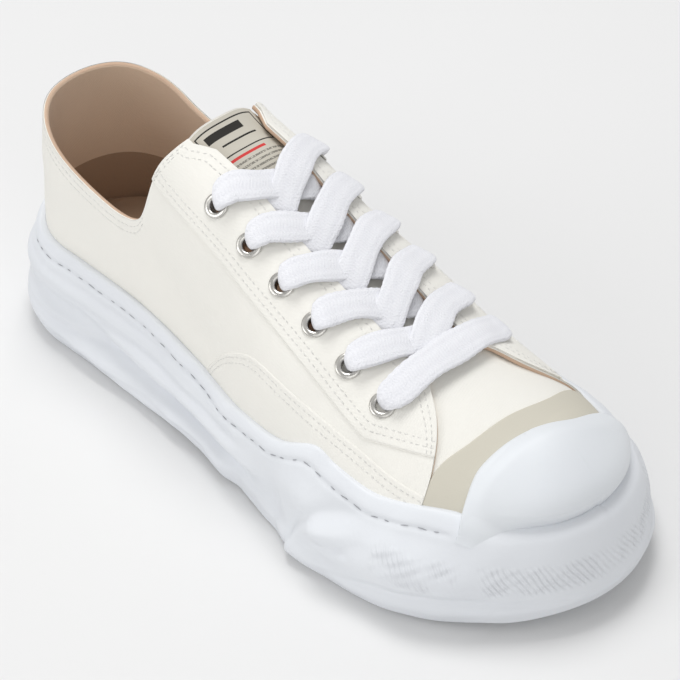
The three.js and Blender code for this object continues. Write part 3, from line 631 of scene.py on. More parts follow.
def rubber_look(name, base, shade, ribs=False):
    look, tree, shader, coords = start_look(name, RUBBER_ROUGHNESS, specular=0.45)
    marks = use_group(tree, MARKS, Vector=coords.outputs["Object"], Cloud=24.0, Grain=420.0)
    share = sums(tree, "MULTIPLY", marks.outputs["Mask"], 0.5)
    tree.links.new(blend(tree, share, base, shade), shader.inputs["Base Color"])
    roughness = sums(tree, "MULTIPLY_ADD", marks.outputs["Mask"], 0.14, RUBBER_ROUGHNESS)
    tree.links.new(roughness, shader.inputs["Roughness"])
    under = bump(tree, shader, marks.outputs["Slow"], 0.35, 0.5)
    if ribs:
        melted = use_group(tree, RIBS, UV=coords.outputs["UV"])
        under = bump(tree, shader, melted.outputs["Height"], 0.4, 0.8, under)
    bump(tree, shader, marks.outputs["Height"], 0.05, 0.5, under)
    return look


CANVAS = cloth_look("off_white_canvas", (0.93, 0.915, 0.865), (0.88, 0.865, 0.81), (0.9, 0.88, 0.825))
TONGUE_CANVAS = cloth_look("tongue_canvas", (0.92, 0.9, 0.85), (0.86, 0.84, 0.78), (0.89, 0.865, 0.81))
LINING = cloth_look("tan_lining", (0.8, 0.63, 0.48), (0.73, 0.56, 0.42), (0.77, 0.59, 0.45), pitch=0.8)
# Dark brown: partly the footbed's own colour, partly painted shade for the dark inside of the shoe. On the
# lower inside of the quarters it is painted shade laid over the tan lining.
FOOTBED_BROWN_AND_PAINTED_SHADE = cloth_look("brown_footbed_and_painted_shade", (0.46, 0.32, 0.22), (0.4, 0.275, 0.19), (0.43, 0.3, 0.21), pitch=0.7)
RAW_EDGE = cloth_look("raw_tan_edge", (0.7, 0.5, 0.36), (0.6, 0.42, 0.3), (0.72, 0.55, 0.42), pitch=0.5)
TAPE = cloth_look("beige_tape", (0.64, 0.61, 0.525), (0.615, 0.585, 0.5), (0.6, 0.575, 0.49), pitch=0.5,
                  depth=0.04, sheen=0.0, mark_share=0.35)
RUBBER_SIDE = rubber_look("ribbed_bluish_white_rubber", (0.75, 0.772, 0.805), (0.715, 0.738, 0.78), ribs=True)
RUBBER = rubber_look("bluish_white_rubber", (0.75, 0.776, 0.805), (0.715, 0.742, 0.78))
THREAD = cloth_look("cream_thread", (0.95, 0.94, 0.91), (0.93, 0.92, 0.88), (0.93, 0.92, 0.88), pitch=0.5)
SOLE_THREAD = cloth_look("grey_white_thread", (0.58, 0.59, 0.62), (0.46, 0.47, 0.5), (0.5, 0.51, 0.54),
                         pitch=0.5)


BRAID_COLUMNS = 0.42  # per millimetre across the tape


def lace_look():
    """Flat tubular braid: fine V ribs along the tape."""
    look, tree, shader, coords = start_look("white_cotton_lace", 0.95, sheen=0.25, specular=0.2)
    across, along = split_vector(tree, coords.outputs["UV"])
    column = sums(tree, "MULTIPLY", across, BRAID_COLUMNS)
    fold = sums(tree, "ABSOLUTE", sums(tree, "SUBTRACT", sums(tree, "FRACT", column), 0.5))
    chevron = sums(tree, "ADD", sums(tree, "MULTIPLY", along, 5.2), sums(tree, "MULTIPLY", fold, 9.0))
    ribs = sums(tree, "SINE", chevron)
    columns = sums(tree, "COSINE", sums(tree, "MULTIPLY", across, BRAID_COLUMNS * 2 * math.pi))
    height = sums(tree, "ADD", sums(tree, "MULTIPLY", ribs, 0.5), sums(tree, "MULTIPLY", columns, 0.5))
    marks = use_group(tree, MARKS, Vector=coords.outputs["Object"], Cloud=60.0, Grain=1500.0)
    shade = sums(tree, "MULTIPLY_ADD", height, 0.25, 0.7, clamp=True)
    tree.links.new(blend(tree, shade, (0.74, 0.745, 0.79), (0.86, 0.865, 0.9)), shader.inputs["Base Color"])
    under = bump(tree, shader, marks.outputs["Height"], 0.45, 0.9)
    bump(tree, shader, height, 0.07, 0.6, under)
    return look


def nickel_look():
    look, tree, shader, coords = start_look("worn_nickel", 0.3, metallic=1.0)
    marks = use_group(tree, MARKS, Vector=coords.outputs["Object"], Cloud=300.0, Grain=2600.0)
    worn = marks.outputs["Mask"]
    tree.links.new(blend(tree, worn, (0.66, 0.645, 0.61), (0.5, 0.49, 0.46)), shader.inputs["Base Color"])
    tree.links.new(sums(tree, "MULTIPLY_ADD", worn, 0.2, 0.24), shader.inputs["Roughness"])
    bump(tree, shader, marks.outputs["Height"], 0.02, 0.4)
    return look


LACE = lace_look()
NICKEL = nickel_look()

# Sole
# Soft strokes along the side: side, half width, height, then (at, z) places. Minus is a trough.
STROKES = [
    (1, 2.0, -1.4, [
        (0.04, 31), (0.18, 28), (0.32, 27), (0.39, 25), (0.46, 24.6), (0.52, 25.5), (0.57, 26.5),
    ]),
    (1, 2.2, 0.85, [(0.1, 20), (0.24, 22), (0.36, 20.5), (0.46, 19), (0.55, 20), (0.62, 22)]),
    (1, 1.6, -1.15, [(0.0, 16), (0.14, 14), (0.28, 17.5), (0.4, 16.5), (0.5, 15.6), (0.58, 14.5)]),
    (1, 1.8, 0.7, [(0.0, 12), (0.16, 9.5), (0.3, 12.5), (0.45, 12.2), (0.56, 9.4), (0.64, 9.4)]),
    (1, 1.5, -0.95, [(0.05, 8), (0.2, 5.5), (0.33, 8.5), (0.46, 7.5), (0.52, 3.2)]),
    (1, 1.5, -0.5, [(0.0, 36.5), (0.16, 35), (0.3, 34.6), (0.42, 32.6), (0.5, 31.6)]),
    (1, 2.0, -1.1, [(0.712, 16.2), (0.742, 19.2), (0.776, 21.2)]),
    (1, 2.2, 0.35, [(0.706, 20.4), (0.742, 25.2), (0.785, 26.8)]),
    (1, 1.3, -0.7, [
        (0.694, 2), (0.755, 8.3), (0.815, 13), (0.871, 16), (0.908, 16.2), (0.947, 15), (0.985, 15.4),
    ]),
    (-1, 2.2, -1.0, [(0.04, 31), (0.2, 27.5), (0.34, 28), (0.46, 24), (0.55, 26)]),
    (-1, 2.4, 0.7, [(0.1, 20), (0.26, 22), (0.4, 19.4), (0.52, 20.5), (0.62, 24)]),
    (-1, 1.8, -0.8, [(0.0, 16), (0.16, 13.5), (0.3, 17), (0.44, 15), (0.58, 17)]),
    (-1, 1.6, 0.6, [(0.05, 9), (0.2, 7.5), (0.36, 11), (0.52, 8.6), (0.64, 10)]),
    (-1, 1.9, -1.4, [(0.56, 33), (0.62, 30), (0.68, 27), (0.73, 26)]),
    (-1, 2.2, 0.9, [(0.62, 24), (0.7, 21), (0.78, 22), (0.86, 25)]),
    (-1, 1.3, -0.7, [(0.66, 2), (0.74, 8), (0.82, 13), (0.88, 15.6), (0.947, 15), (0.985, 15.4)]),
]
# The upper edge of the forefoot's lobe on the outer side: at, z.
LOBE_EDGE = [
    (0.64, -14), (0.655, -4), (0.662, 2), (0.672, 9), (0.682, 15), (0.705, 22), (0.722, 25.4), (0.752, 28.6),
    (0.776, 30.0), (0.82, 30.2), (0.86, 31.4), (0.9, 32.0), (1.0, 32.0),
]
STITCH_DROP, STITCH_HALF, STITCH_DEPTH = 5.5, 0.8, 0.6  # the stitches' groove, under the rim
GROOVE_END = {1: 0.886, -1: 0.9}
LOBE_STEP, LOBE_VALLEY = 2.2, 0.7
SOLE_FOOT_SWELL = 0.22
lobe_edge = table_curve(LOBE_EDGE)


def side_height(at, h):
    return h * (rim_of(at) * RIM_HEIGHT - under_of(at) * TOE_SPRING)


def stand_off(at, side, h):
    rise = side_height(at, h)
    out = SOLE_FLARE + (RIM_THICKNESS - SOLE_FLARE) * h * h
    for fold_side, start, end, low, high, wave, spread, amount in FOLDS:
        share = np.clip((at - start) / (end - start), 0, 1)
        fade = np.minimum(1, (1 - share) * 4) * (np.minimum(1, share * 4) if start else 1)
        fade = smooth(fade) * (side == fold_side)
        line = low + (high - low) * share + wave * np.sin(share * np.pi * 3)
        out = out + SOLE_FLARE * amount * fade * bell((h - line) / spread)
    out = out + SOLE_FLARE * SOLE_FOOT_SWELL * bell((rise - 7) / 4)
    return out


def stroke_height(y, z, side):
    """Sum of the soft strokes at places on the side."""
    total = np.zeros_like(y)
    for which, half, height, places in STROKES:
        line = np.array([(y_of(at), high) for at, high in places])
        best = np.full(y.shape, np.inf)
        where = np.zeros_like(y)
        for k in range(len(line) - 1):
            run = line[k + 1] - line[k]
            u = np.clip(((y - line[k, 0]) * run[0] + (z - line[k, 1]) * run[1]) / (run @ run), 0, 1)
            off = np.hypot(y - line[k, 0] - u * run[0], z - line[k, 1] - u * run[1])
            closer = off < best
            best = np.where(closer, off, best)
            where = np.where(closer, (k + u) / (len(line) - 1), where)
        fade = smooth(where / 0.22) * smooth((1 - where) / 0.22)
        if places[-1][0] > 0.98:
            fade = smooth(where / 0.22)
        total += height * fade * bell(best / half) * (side == which)
    return total


def rubber_detail(at, side, h):
    """Stitch groove, the lobe's step, dents and ridges, in millimetres outward."""
    full = side_height(at, 1.0)
    rise = full * h
    y, z = y_of(at), under_of(at) * TOE_SPRING + rise
    groove = bell((full - rise - STITCH_DROP) / STITCH_HALF)
    ends = smooth((np.where(side > 0, GROOVE_END[1], GROOVE_END[-1]) - at) / 0.012)
    out = -STITCH_DEPTH * groove * ends
    edge = lobe_edge(at)
    corner = 1 + 0.4 * bell((at - 0.68) / 0.03)
    share = smooth((0.93 - at) / 0.1) * smooth((at - 0.645) / 0.01) * (side > 0) * corner
    out += LOBE_STEP * share * smooth((edge - z) / 8 + 0.6)
    valley = smooth((at - 0.664) / 0.01) * smooth((0.79 - at) / 0.04) * (side > 0)
    out -= LOBE_VALLEY * bell((z - edge - 4.0) / 3.4) * valley
    out += stroke_height(y, z, side)
    # Uneven handwork, none at the heel and toe where the two sides meet
    ends = smooth(at / 0.07) * smooth((1 - at) / 0.05)
    out += 0.4 * ends * np.sin(y * 0.11 + side * 1.3 + h * 4) * np.sin(h * 5.2 + y * 0.05)
    out += 0.2 * ends * np.sin(y * 0.31 + side * 2.1) * np.sin(h * 9.0 - y * 0.09)
    return out


def beside_wall(s, z, out):
    at, side = split(s)
    full = full_of(at)
    top = ridge(at)
    base = floor_of(at) * HEEL_FLOOR
    rise = np.clip((z - base) / (top[..., 2] - base), 0, 0.98)
    q = (1 - rise ** full) ** (1 / full)
    x = top[..., 0] + (outline_x(at, side) - top[..., 0]) * q
    y = top[..., 1] + (y_of(at) - top[..., 1]) * q
    away = wall_normal(s, np.zeros_like(s))
    return np.stack([x, y, z], -1) + away * np.asarray(out)[..., None]


SOLE_COLUMNS = 360  # along each side
SOLE_ROWS = 60
BOTTOM_EDGE, TOP_EDGE = 0.045, 0.9  # shares of the side's height where its rounded edges begin
BOTTOM_ROUND, TOP_ROUND, TOE_EXTRA_ROUND = 1.7, 2.1, 2.0
RIM_INSIDE, WELL_INSIDE = 0.9, 0.4  # how far the rim's inner edge and the well stand off the last
TREAD_MARGIN = 9.0
TREAD_STRIPS = 60
FLOOR_EVERY = 15  # the well's floor takes every fifteenth strip


def sole_steps():
    """s and side round the sole's edge: heel, outer side, toe, inner side, heel."""
    step = np.arange(2 * SOLE_COLUMNS + 1) / SOLE_COLUMNS
    return np.where(step <= 1, step, step - 2), np.where(step <= 1, 1.0, -1.0)


def settle(at, side, z):
    """The inner side's wall is a little lower beside the toe cap."""
    low = under_of(at) * TOE_SPRING
    return low + (z - low) * (1 - 0.1 * bell((at - 0.9) / 0.07) * (side < 0))


def across_sole(edge, share):
    """Strips from the outer edge to the inner one."""
    outer, inner = edge[: SOLE_COLUMNS + 1], edge[::-1][: SOLE_COLUMNS + 1]
    return outer[:, None] * (1 - share)[None, :, None] + inner[:, None] * share[None, :, None]


def make_sole():
    s, side = sole_steps()
    at, _ = split(s)
    low = under_of(at) * TOE_SPRING
    rim = rim_of(at) * RIM_HEIGHT
    toe = smooth((at - 0.875) / 0.03)  # rounder where the bumper runs up to the cap
    top_round = TOP_ROUND + TOE_EXTRA_ROUND * toe

    def ring(h, inset):
        level = np.full_like(at, h)
        z = low + level * (rim - low)
        out = stand_off(at, side, level) + rubber_detail(at, side, level) * smooth(h / 0.06) - inset
        return beside_wall(s, settle(at, side, z), out)

    rings = []
    for share in (0.0, 0.35, 0.7):  # bottom edge, rounded
        angle = share * np.pi / 2
        rings.append(ring(BOTTOM_EDGE * (1 - math.cos(angle)), BOTTOM_ROUND * (1 - math.sin(angle))))
    for h in np.linspace(BOTTOM_EDGE, TOP_EDGE, SOLE_ROWS):
        rings.append(ring(h, 0.0))
    for share in np.linspace(0.12, 1, 8):  # top edge, rounded
        angle = share * np.pi / 2
        rings.append(ring(TOP_EDGE + 0.1 * math.sin(angle), top_round * (1 - math.cos(angle))))
    rim = settle(at, side, rim)
    inner = beside_wall(s, rim - 0.5 - 0.8 * toe, np.full_like(at, RIM_INSIDE))
    rings.append(rings[-1] * 0.4 + inner * 0.6)
    rings.append(inner)
    floor_top = floor_of(at) * HEEL_FLOOR - 0.4
    for share in (0.3, 0.7, 1.0):  # down to the floor of the well
        rings.append(beside_wall(s, rim + (floor_top - rim) * share, np.full_like(at, WELL_INSIDE)))
    points = np.stack(rings, 1)
    uv = np.stack(np.broadcast_arrays(run_lengths(points[:, 30:31], 0), points[..., 2]), -1)
    side_piece = sheet("sole_side", points, uv, looks=[RUBBER_SIDE])
    # Underside, with waved grooves
    share = np.linspace(0, 1, TREAD_STRIPS + 1)
    share = (1 - np.cos(share * np.pi)) / 2 * 0.35 + share * 0.65
    bottom = across_sole(points[:, 0], share)
    x, y = bottom[..., 0], bottom[..., 1]
    left = outline_x(at_of(y), -1) - SOLE_FLARE + TREAD_MARGIN
    right = outline_x(at_of(y), 1) + SOLE_FLARE - TREAD_MARGIN
    wave = GROOVE_WIDTH * np.sin(np.clip((x - left) / np.maximum(right - left, 1), 0, 1) * 4 * np.pi)
    first, last = HEEL_Y + GROOVE_PITCH, -HEEL_Y - 2 * GROOVE_PITCH
    grooves = math.ceil((last - first) / GROOVE_PITCH)
    number = np.clip(np.rint((y - wave - first) / GROOVE_PITCH), 0, grooves - 1)
    off = np.abs(y - wave - first - number * GROOVE_PITCH)
    deep = smooth((GROOVE_WIDTH / 2 + 0.5 - off) / 1.0) * smooth((x - left + 0.5) / 1.0)
    bottom[..., 2] += GROOVE_DEPTH * (deep * smooth((right - x + 0.5) / 1.0))
    bottom_piece = sheet("sole_bottom", bottom, looks=[RUBBER])
    floor_piece = sheet("sole_floor", across_sole(points[:, -1], share[::FLOOR_EVERY]), looks=[RUBBER])
    sole = join("sole_rubber", [side_piece, bottom_piece, floor_piece])
    weld(sole, 0.03)
    finish_mesh(sole)
    wear(sole, "sole_rubber", "sole")


make_sole()


def throat_half(y):
    corner = y_of(EYESTAY_CORNER)
    share = np.clip((corner + 2 * THROAT_FLARE - y) / (2 * THROAT_FLARE), 0, 1)
    return THROAT_WIDTH / 2 + THROAT_FLARE * share


THROAT_CENTRE = centre_of(0.315) * BALL_WIDTH
FRONT_CENTRE = centre_of(0.742) * BALL_WIDTH


def in_quarter(points):
    """Inside the quarter: below the collar, outside the throat and behind the front edge."""
    x, y, z = points[..., 0], points[..., 1], points[..., 2]
    collar = ANKLE_HEIGHT + collar_lift(at_of(y)) * (HEEL_HEIGHT - ANKLE_HEIGHT)
    below = (z < collar) | (at_of(y) > 0.37)
    beside = (np.abs(x - THROAT_CENTRE) > throat_half(y)) | (at_of(y) < 0.3)
    across = np.abs(x - FRONT_CENTRE) / BALL_WIDTH
    behind = y < y_of(quarter_front(across))
    return below & beside & behind


def highest_turn(s, inside):
    low, high = np.zeros_like(s), np.ones_like(s)
    for _ in range(26):
        middle = (low + high) / 2
        good = inside(wall_at(s, middle))
        low, high = np.where(good, middle, low), np.where(good, high, middle)
    return low


def columns(low, high, count, dense=()):
    """Places round the plan, closer together where an edge is steep."""
    s = np.linspace(low, high, 6001)
    weight = np.ones_like(s)
    for place, width, amount in dense:
        weight += amount * bell((np.abs(s) - place) / width)
    total = np.concatenate([[0], np.cumsum((weight[1:] + weight[:-1]) / 2)])
    return np.interp(np.linspace(0, total[-1], count + 1), total, s)


# Soft creases of the canvas: side, y and z of both ends, half width, height in millimetres.
CREASES = [
    (1, 40, 62, 78, 44, 5, -0.5), (1, 58, 60, 88, 46, 4, 0.35), (1, 20, 72, 52, 50, 6, 0.4),
    (1, -20, 80, 14, 52, 8, -0.5), (1, -58, 74, -20, 48, 9, -0.6), (1, -90, 66, -48, 50, 8, 0.5),
    (1, -120, 60, -80, 62, 7, -0.4), (1, 66, 56, 92, 48, 3, -0.35), (1, -46, 92, -10, 84, 5, 0.3),
    (-1, 36, 64, 76, 44, 5, -0.5), (-1, 10, 74, 48, 50, 6, 0.45), (-1, -30, 80, 10, 50, 8, -0.5),
    (-1, -70, 72, -28, 48, 9, -0.6), (-1, -110, 66, -66, 54, 8, 0.5), (-1, 62, 56, 90, 46, 3, -0.3),
    (-1, -128, 70, -104, 50, 6, -0.4), (1, -132, 72, -112, 48, 6, -0.35),
]


def creases(points, side):
    y, z = points[..., 1], points[..., 2]
    total = np.zeros_like(y)
    for which, y0, z0, y1, z1, half, height in CREASES:
        along = np.array([y1 - y0, z1 - z0], float)
        length = np.hypot(*along)
        along /= length
        u = ((y - y0) * along[0] + (z - z0) * along[1]) / length
        off = (y - y0) * along[1] - (z - z0) * along[0]
        fade = smooth((u + 0.15) / 0.3) * smooth((1.15 - u) / 0.3)
        total += height * fade * bell(off / half) * (side == which)
    total += 0.14 * np.sin(y * 0.13 + z * 0.07 + side) * np.sin(z * 0.17 - y * 0.05)
    return total


EYELET_Y = [float(y_of(EYELET_FIRST)) + EYELET_SPAN * i / (EYELETS - 1) for i in range(EYELETS)]


def half_spread(share):
    """Half the distance between the two rows of eyelets, share 0 at the top pair and 1 at the lowest."""
    return (EYELET_SPREAD + (EYELET_SPREAD_LOW - EYELET_SPREAD) * share) / 2


def eyelet_place(i, side):
    half = half_spread(i / (EYELETS - 1))
    y = EYELET_Y[i]
    return float(centre_of(at_of(y)) * BALL_WIDTH + side * half), y


def eyelet_share(y):
    return np.clip((np.asarray(y) - EYELET_Y[0]) / EYELET_SPAN, None, 1)


def seam_height(y, side):
    """Height of the eyestay's seam, EYESTAY_DROP below the eyelets along the wall."""
    share = eyelet_share(y)
    half = half_spread(share)
    held = EYELET_Y[0] + share * EYELET_SPAN
    x = centre_of(at_of(held)) * BALL_WIDTH + side * half
    s, turn = seat(x, held)
    n = wall_normal(s, turn)
    down = unit(np.cross(n, np.broadcast_to([0, 1.0, 0], n.shape)) * -side)
    return (wall_at(s, turn) + down * EYESTAY_DROP)[..., 2]


def gape(points, side, edge_distance):
    """The inner front edge of the quarter stands off the vamp, as the lace pulls it."""
    at = at_of(points[..., 1])
    place = bell((at - 0.76) / 0.045)
    amount = np.where(side < 0, 2.0, 0.35)
    return amount * place * bell(edge_distance / 11)


ROLL_STEPS = 6


def edge_roll(outer, inner, edge, normal, forward):
    """Rows round an edge, from the outer face to the inner."""
    middle, half = (outer + inner) / 2, (outer - inner) / 2
    rows = []
    for angle in np.linspace(0, np.pi, ROLL_STEPS + 1):
        rows.append(edge + normal * (middle + half * math.cos(angle))[..., None]
                    + forward * (half * math.sin(angle) * 0.8)[..., None])
    return rows


LINING_FACE = -1.3
QUARTER_END = 0.7506  # s of the quarters' front ends
EDGE_WITHIN = 0.9  # the rolled edge's middle lies this far inside the pattern's line
LEVEL_TURN = 0.26  # up to here the rows run level, for the weave's sake


def make_quarters():
    s = columns(-QUARTER_END, QUARTER_END, 620, ((0.372, 0.02, 9), (0.74, 0.02, 3), (0.66, 0.05, 1)))
    top_turn = np.maximum(highest_turn(s, in_quarter), 1e-3)
    _, side = split(s)
    level = np.minimum(top_turn * 0.85, LEVEL_TURN)
    share = np.concatenate([np.linspace(0, 0.86, 30), np.linspace(0.88, 1, 10)])
    lower = level[:, None] * np.linspace(0, 1, 24)[None, :-1]
    turn = np.concatenate([lower, level[:, None] + (top_turn - level)[:, None] * share[None, :]], 1)
    ss = np.broadcast_to(s[:, None], turn.shape)
    base = wall_at(ss, turn)
    normal = wall_normal(ss, turn)
    sides = np.broadcast_to(side[:, None], turn.shape)
    run = run_lengths(base, 1)
    distance = run[:, -1:] - run
    lift = QUARTER_STEP + creases(base, sides) * smooth(distance / 6) + gape(base, sides, distance)
    outer = base + normal * lift[..., None]
    edge, edge_n = base[:, -1], normal[:, -1]
    tangent = np.gradient(edge, axis=0)
    forward = unit(np.cross(edge_n, tangent))
    up = base[:, -1] - base[:, -2]
    forward *= np.sign(np.sum(forward * up, -1, keepdims=True))
    gape_edge = gape(edge, side, 0 * side)
    rolled = edge_roll(QUARTER_STEP + gape_edge, LINING_FACE + gape_edge, edge - forward * EDGE_WITHIN,
                       edge_n, forward)
    # Inside, down to the footbed
    inner_share = np.linspace(0.985, 0, 26)
    inner_turn = top_turn[:, None] * inner_share[None, :]
    inner_s = np.broadcast_to(s[:, None], inner_turn.shape)
    inner_base = wall_at(inner_s, inner_turn)
    inner_d = run[:, -1:] * (1 - inner_share)[None, :]
    inner_sides = np.broadcast_to(side[:, None], inner_turn.shape)
    inner_lift = LINING_FACE + gape(inner_base, inner_sides, inner_d) + 0.5 * creases(inner_base, inner_sides)
    inner = inner_base + wall_normal(inner_s, inner_turn) * inner_lift[..., None]
    points = np.concatenate([outer[:, :-1], np.stack(rolled, 1), inner], 1)
    first = outer.shape[1] - 1
    # The lowest inner rows take the dark brown finish: painted shade on the tan lining, deep inside the shoe.
    piece = sheet("quarters_canvas", points, cloth_uv(points, 12), looks=[CANVAS, RAW_EDGE, LINING, FOOTBED_BROWN_AND_PAINTED_SHADE],
                  rows_of=((first + 2, 1), (first + 5, 2), (first + 22, 3)), exact=True)
    wear(piece, "canvas", "upper")
    return s, top_turn


quarter_s, quarter_top = make_quarters()


VAMP_REAR_DROP = 2.2  # where it passes under the tongue and quarters


def make_vamp():
    at = np.linspace(0.655, 0.884, 110)
    w = np.linspace(1, -1, 120)
    A, W = np.meshgrid(at, w, indexing="ij")
    T, S = 1 - np.abs(W), np.where(W >= 0, 1.0, -1.0)
    s = around_of(A, S)
    base = wall_at(s, T)
    lift = 0.18 * np.sin(base[..., 1] * 0.16) * np.sin(base[..., 0] * 0.09)
    lift = lift - VAMP_REAR_DROP * smooth((0.72 - A) / 0.05)
    points = base + wall_normal(s, T) * lift[..., None]
    piece = sheet("vamp_canvas", points, cloth_uv(points), looks=[CANVAS, LINING])
    thicken(piece, 1.6, rim=1, inner=1)
    weld(piece)
    finish_mesh(piece, 50)
    wear(piece, "canvas")


make_vamp()


EYESTAY_START = 0.355  # s of its rear end
OVERLAP = 0.2  # how deep its edge begins in the quarter
EYESTAY_ROWS, THROAT_ROWS, PANEL_ROWS, COLLAR_ROWS = (3.2, 5.8), (3.0, 5.8), (2.2, 4.8), (3.0, 6.0)


def stitch_dips(distance, rows, depth):
    """The double row of stitches pulls the cloth down a little."""
    return sum(depth * bell((distance - row) / 0.9) for row in rows)


def make_eyestay(side):
    s = columns(EYESTAY_START, QUARTER_END, 330, ((0.372, 0.02, 8), (0.74, 0.02, 3)))
    top = highest_turn(side * s, in_quarter)

    def below_seam(points):
        return points[..., 2] < seam_height(points[..., 1], side)

    low = highest_turn(side * s, below_seam)
    keep = low < top - 0.002
    s, top, low = s[keep], top[keep], low[keep]
    share = np.concatenate([np.linspace(0, 0.06, 6), np.linspace(0.09, 0.91, 30), np.linspace(0.94, 1, 6)])
    turn = low[:, None] + (top - low)[:, None] * share[None, :]
    ss = np.broadcast_to((side * s)[:, None], turn.shape)
    base = wall_at(ss, turn)
    normal = wall_normal(ss, turn)
    run = run_lengths(base, 1)
    from_low, from_top = run, run[:, -1:] - run
    sides = np.full(turn.shape, float(side))
    rim = round_edge(np.minimum(from_low, from_top + 0.35), 0.7)
    lift = QUARTER_STEP - OVERLAP + (EYESTAY_FACE - QUARTER_STEP + OVERLAP) * rim
    lift += creases(base, sides) * smooth(from_top / 6) + gape(base, sides, from_top)
    lift -= stitch_dips(from_low, EYESTAY_ROWS, 0.07)
    points = base + normal * lift[..., None]
    piece = sheet("eyestay_canvas_" + SIDES[side], points, cloth_uv(points, 0), side < 0, [CANVAS])
    thicken(piece, 0.7)
    finish_mesh(piece, 60)
    wear(piece, "canvas", "eyestay_" + SIDES[side])
    return s * side, low, top


eyestays = {side: make_eyestay(side) for side in SIDES}


PANEL_REAR, PANEL_FRONT = 0.4, 0.85
PANEL_SINK = 0.3  # how deep its edge begins in the quarter


def make_side_panel(side):
    at = np.linspace(PANEL_REAR, PANEL_FRONT, 240)
    s = around_of(at, np.full_like(at, float(side)))

    def inside(points):
        good = points[..., 2] < panel_top(at_of(points[..., 1])) * INSTEP_HEIGHT
        return good & in_quarter(points)

    top = np.maximum(highest_turn(s, inside), 2e-3)
    share = np.concatenate([np.linspace(0, 0.93, 30), np.linspace(0.945, 1, 8)])
    turn = top[:, None] * share[None, :]
    ss = np.broadcast_to(s[:, None], turn.shape)
    base = wall_at(ss, turn)
    run = run_lengths(base, 1)
    distance = run[:, -1:] - run
    rim = round_edge(distance, 0.8)
    ends = np.minimum(smooth((at - PANEL_REAR) / 0.004), smooth((PANEL_FRONT - at) / 0.004))[:, None]
    sides = np.full(turn.shape, float(side))
    lift = QUARTER_STEP - PANEL_SINK + (PANEL_STEP + PANEL_SINK) * rim * ends + creases(base, sides)
    lift -= stitch_dips(distance, PANEL_ROWS, 0.06)
    points = base + wall_normal(ss, turn) * lift[..., None]
    piece = sheet("side_panel_" + SIDES[side], points, cloth_uv(points), side < 0, [CANVAS])
    thicken(piece, 0.6)
    finish_mesh(piece, 60)
    wear(piece, "canvas")
    return s, top


panels = {side: make_side_panel(side) for side in SIDES}


# Toe
def cross_section(y, w):
    """x of a place across the foot, w from -1 at the inner feather edge to 1 at the outer."""
    at = at_of(y)
    cx = centre_of(np.clip(at, HEEL_POLE, TOE_POLE)) * BALL_WIDTH
    side = np.where(w >= 0, 1.0, -1.0)
    full = full_of(at)
    angle = (1 - np.abs(w)) * np.pi / 2
    c, s = np.abs(np.cos(angle)), np.abs(np.sin(angle))
    q = c * (c ** full + s ** full) ** (-1 / full)
    return cx + (outline_x(at, side) - cx) * q


def make_band():
    w = np.linspace(0.93, -0.93, 170)
    v = np.concatenate([np.linspace(0, 0.05, 5), np.linspace(0.1, 1, 22)])
    V, W = np.meshgrid(v, w, indexing="ij")
    y = np.full(V.shape, 100.0)
    for _ in range(10):
        x = cross_section(y, W)
        y = y_of(band_rear(x / BALL_WIDTH)) + V * BAND_WIDTH
    points = on_plan(x, y, 0.15 + 0.75 * round_edge(V * BAND_WIDTH, 0.6))
    piece = sheet("toe_band_tape", points, cloth_uv(points), looks=[TAPE])
    thicken(piece, 0.5)
    finish_mesh(piece, 60)
    wear(piece, "tape", "toe_band")


make_band()


CAP_MIDDLE = (-2.0, 122.0)
CAP_FOOT, CAP_DOME = 0.4, 1.7
UNDER_RIM = 8.5  # how far the cap reaches down behind the bumper's edge


def make_cap():
    """A domed cap round a middle point, out to its rear edge and down to the bumper."""
    angle = np.linspace(0, 2 * np.pi, 241)
    direction = np.stack([np.sin(angle), np.cos(angle)], -1)

    def behind_band(x, y):
        return y - (y_of(band_rear(x / BALL_WIDTH)) + cap_lead(x / BALL_WIDTH))

    low, high = np.zeros_like(angle), np.full_like(angle, 90.0)
    for _ in range(26):
        reach = (low + high) / 2
        x, y = [CAP_MIDDLE[k] + direction[:, k] * reach for k in (0, 1)]
        s, turn = seat(x, y)
        at, side = split(s)
        z = wall_at(s, turn)[..., 2]
        inside = behind_band(x, y) > 0
        inside &= (z > settle(at, side, rim_of(at) * RIM_HEIGHT) - UNDER_RIM) & (y < -HEEL_Y)
        low, high = np.where(inside, reach, low), np.where(inside, high, reach)
    rings = np.sin(np.linspace(0, 1, 120) * np.pi / 2)
    x, y = [CAP_MIDDLE[k] + direction[:, k : k + 1] * low[:, None] * rings[None, :] for k in (0, 1)]
    rear = behind_band(x, y)
    s, turn = seat(x, y)
    at, side = split(s)
    z = wall_at(s, turn)[..., 2]
    bottom = under_of(at) * TOE_SPRING
    rim = rim_of(at) * RIM_HEIGHT
    above = z - settle(at, side, rim)
    dome = CAP_DOME + 2.6 * smooth((rear + 1) / 9) + 1.6 * bell((above - 6) / 6)
    foot = CAP_FOOT + (dome - CAP_FOOT) * smooth((above + 2) / 5)  # ducks under the bumper's edge
    level = np.clip((z - bottom) / (rim - bottom), 0, 1)
    beside = stand_off(at, side, level) + rubber_detail(at, side, level)
    beside += 0.12 - 0.8 * smooth((-above - 3) / 5.5)
    down = smooth((9 - above) / 12)
    flow = dome * (1 - down) + beside * down  # runs down into the bumper, on the outer side
    joined = smooth((at - 0.87) / 0.012) * smooth((0.975 - at) / 0.07) * (side > 0)
    out = foot + (flow - foot) * joined
    out = 0.6 + (out - 0.6) * np.where(above > -6, round_edge(rear, 1.5), 1)
    out += 0.18 * np.sin(x * 0.13 + 1) * np.sin(y * 0.17)
    piece = sheet("toe_cap_rubber", on_plan(x, y, out), looks=[RUBBER])
    weld(piece, 0.03, outward=False)
    thicken(piece, 0.6)
    finish_mesh(piece, 60)
    wear(piece, "sole_rubber", "toe_cap")


make_cap()


# Inside: tongue, label, footbed
THROAT_FRONT = EYELET_Y[-1] + 11
TONGUE_REAR = y_of(EYESTAY_CORNER) - TONGUE_RISE


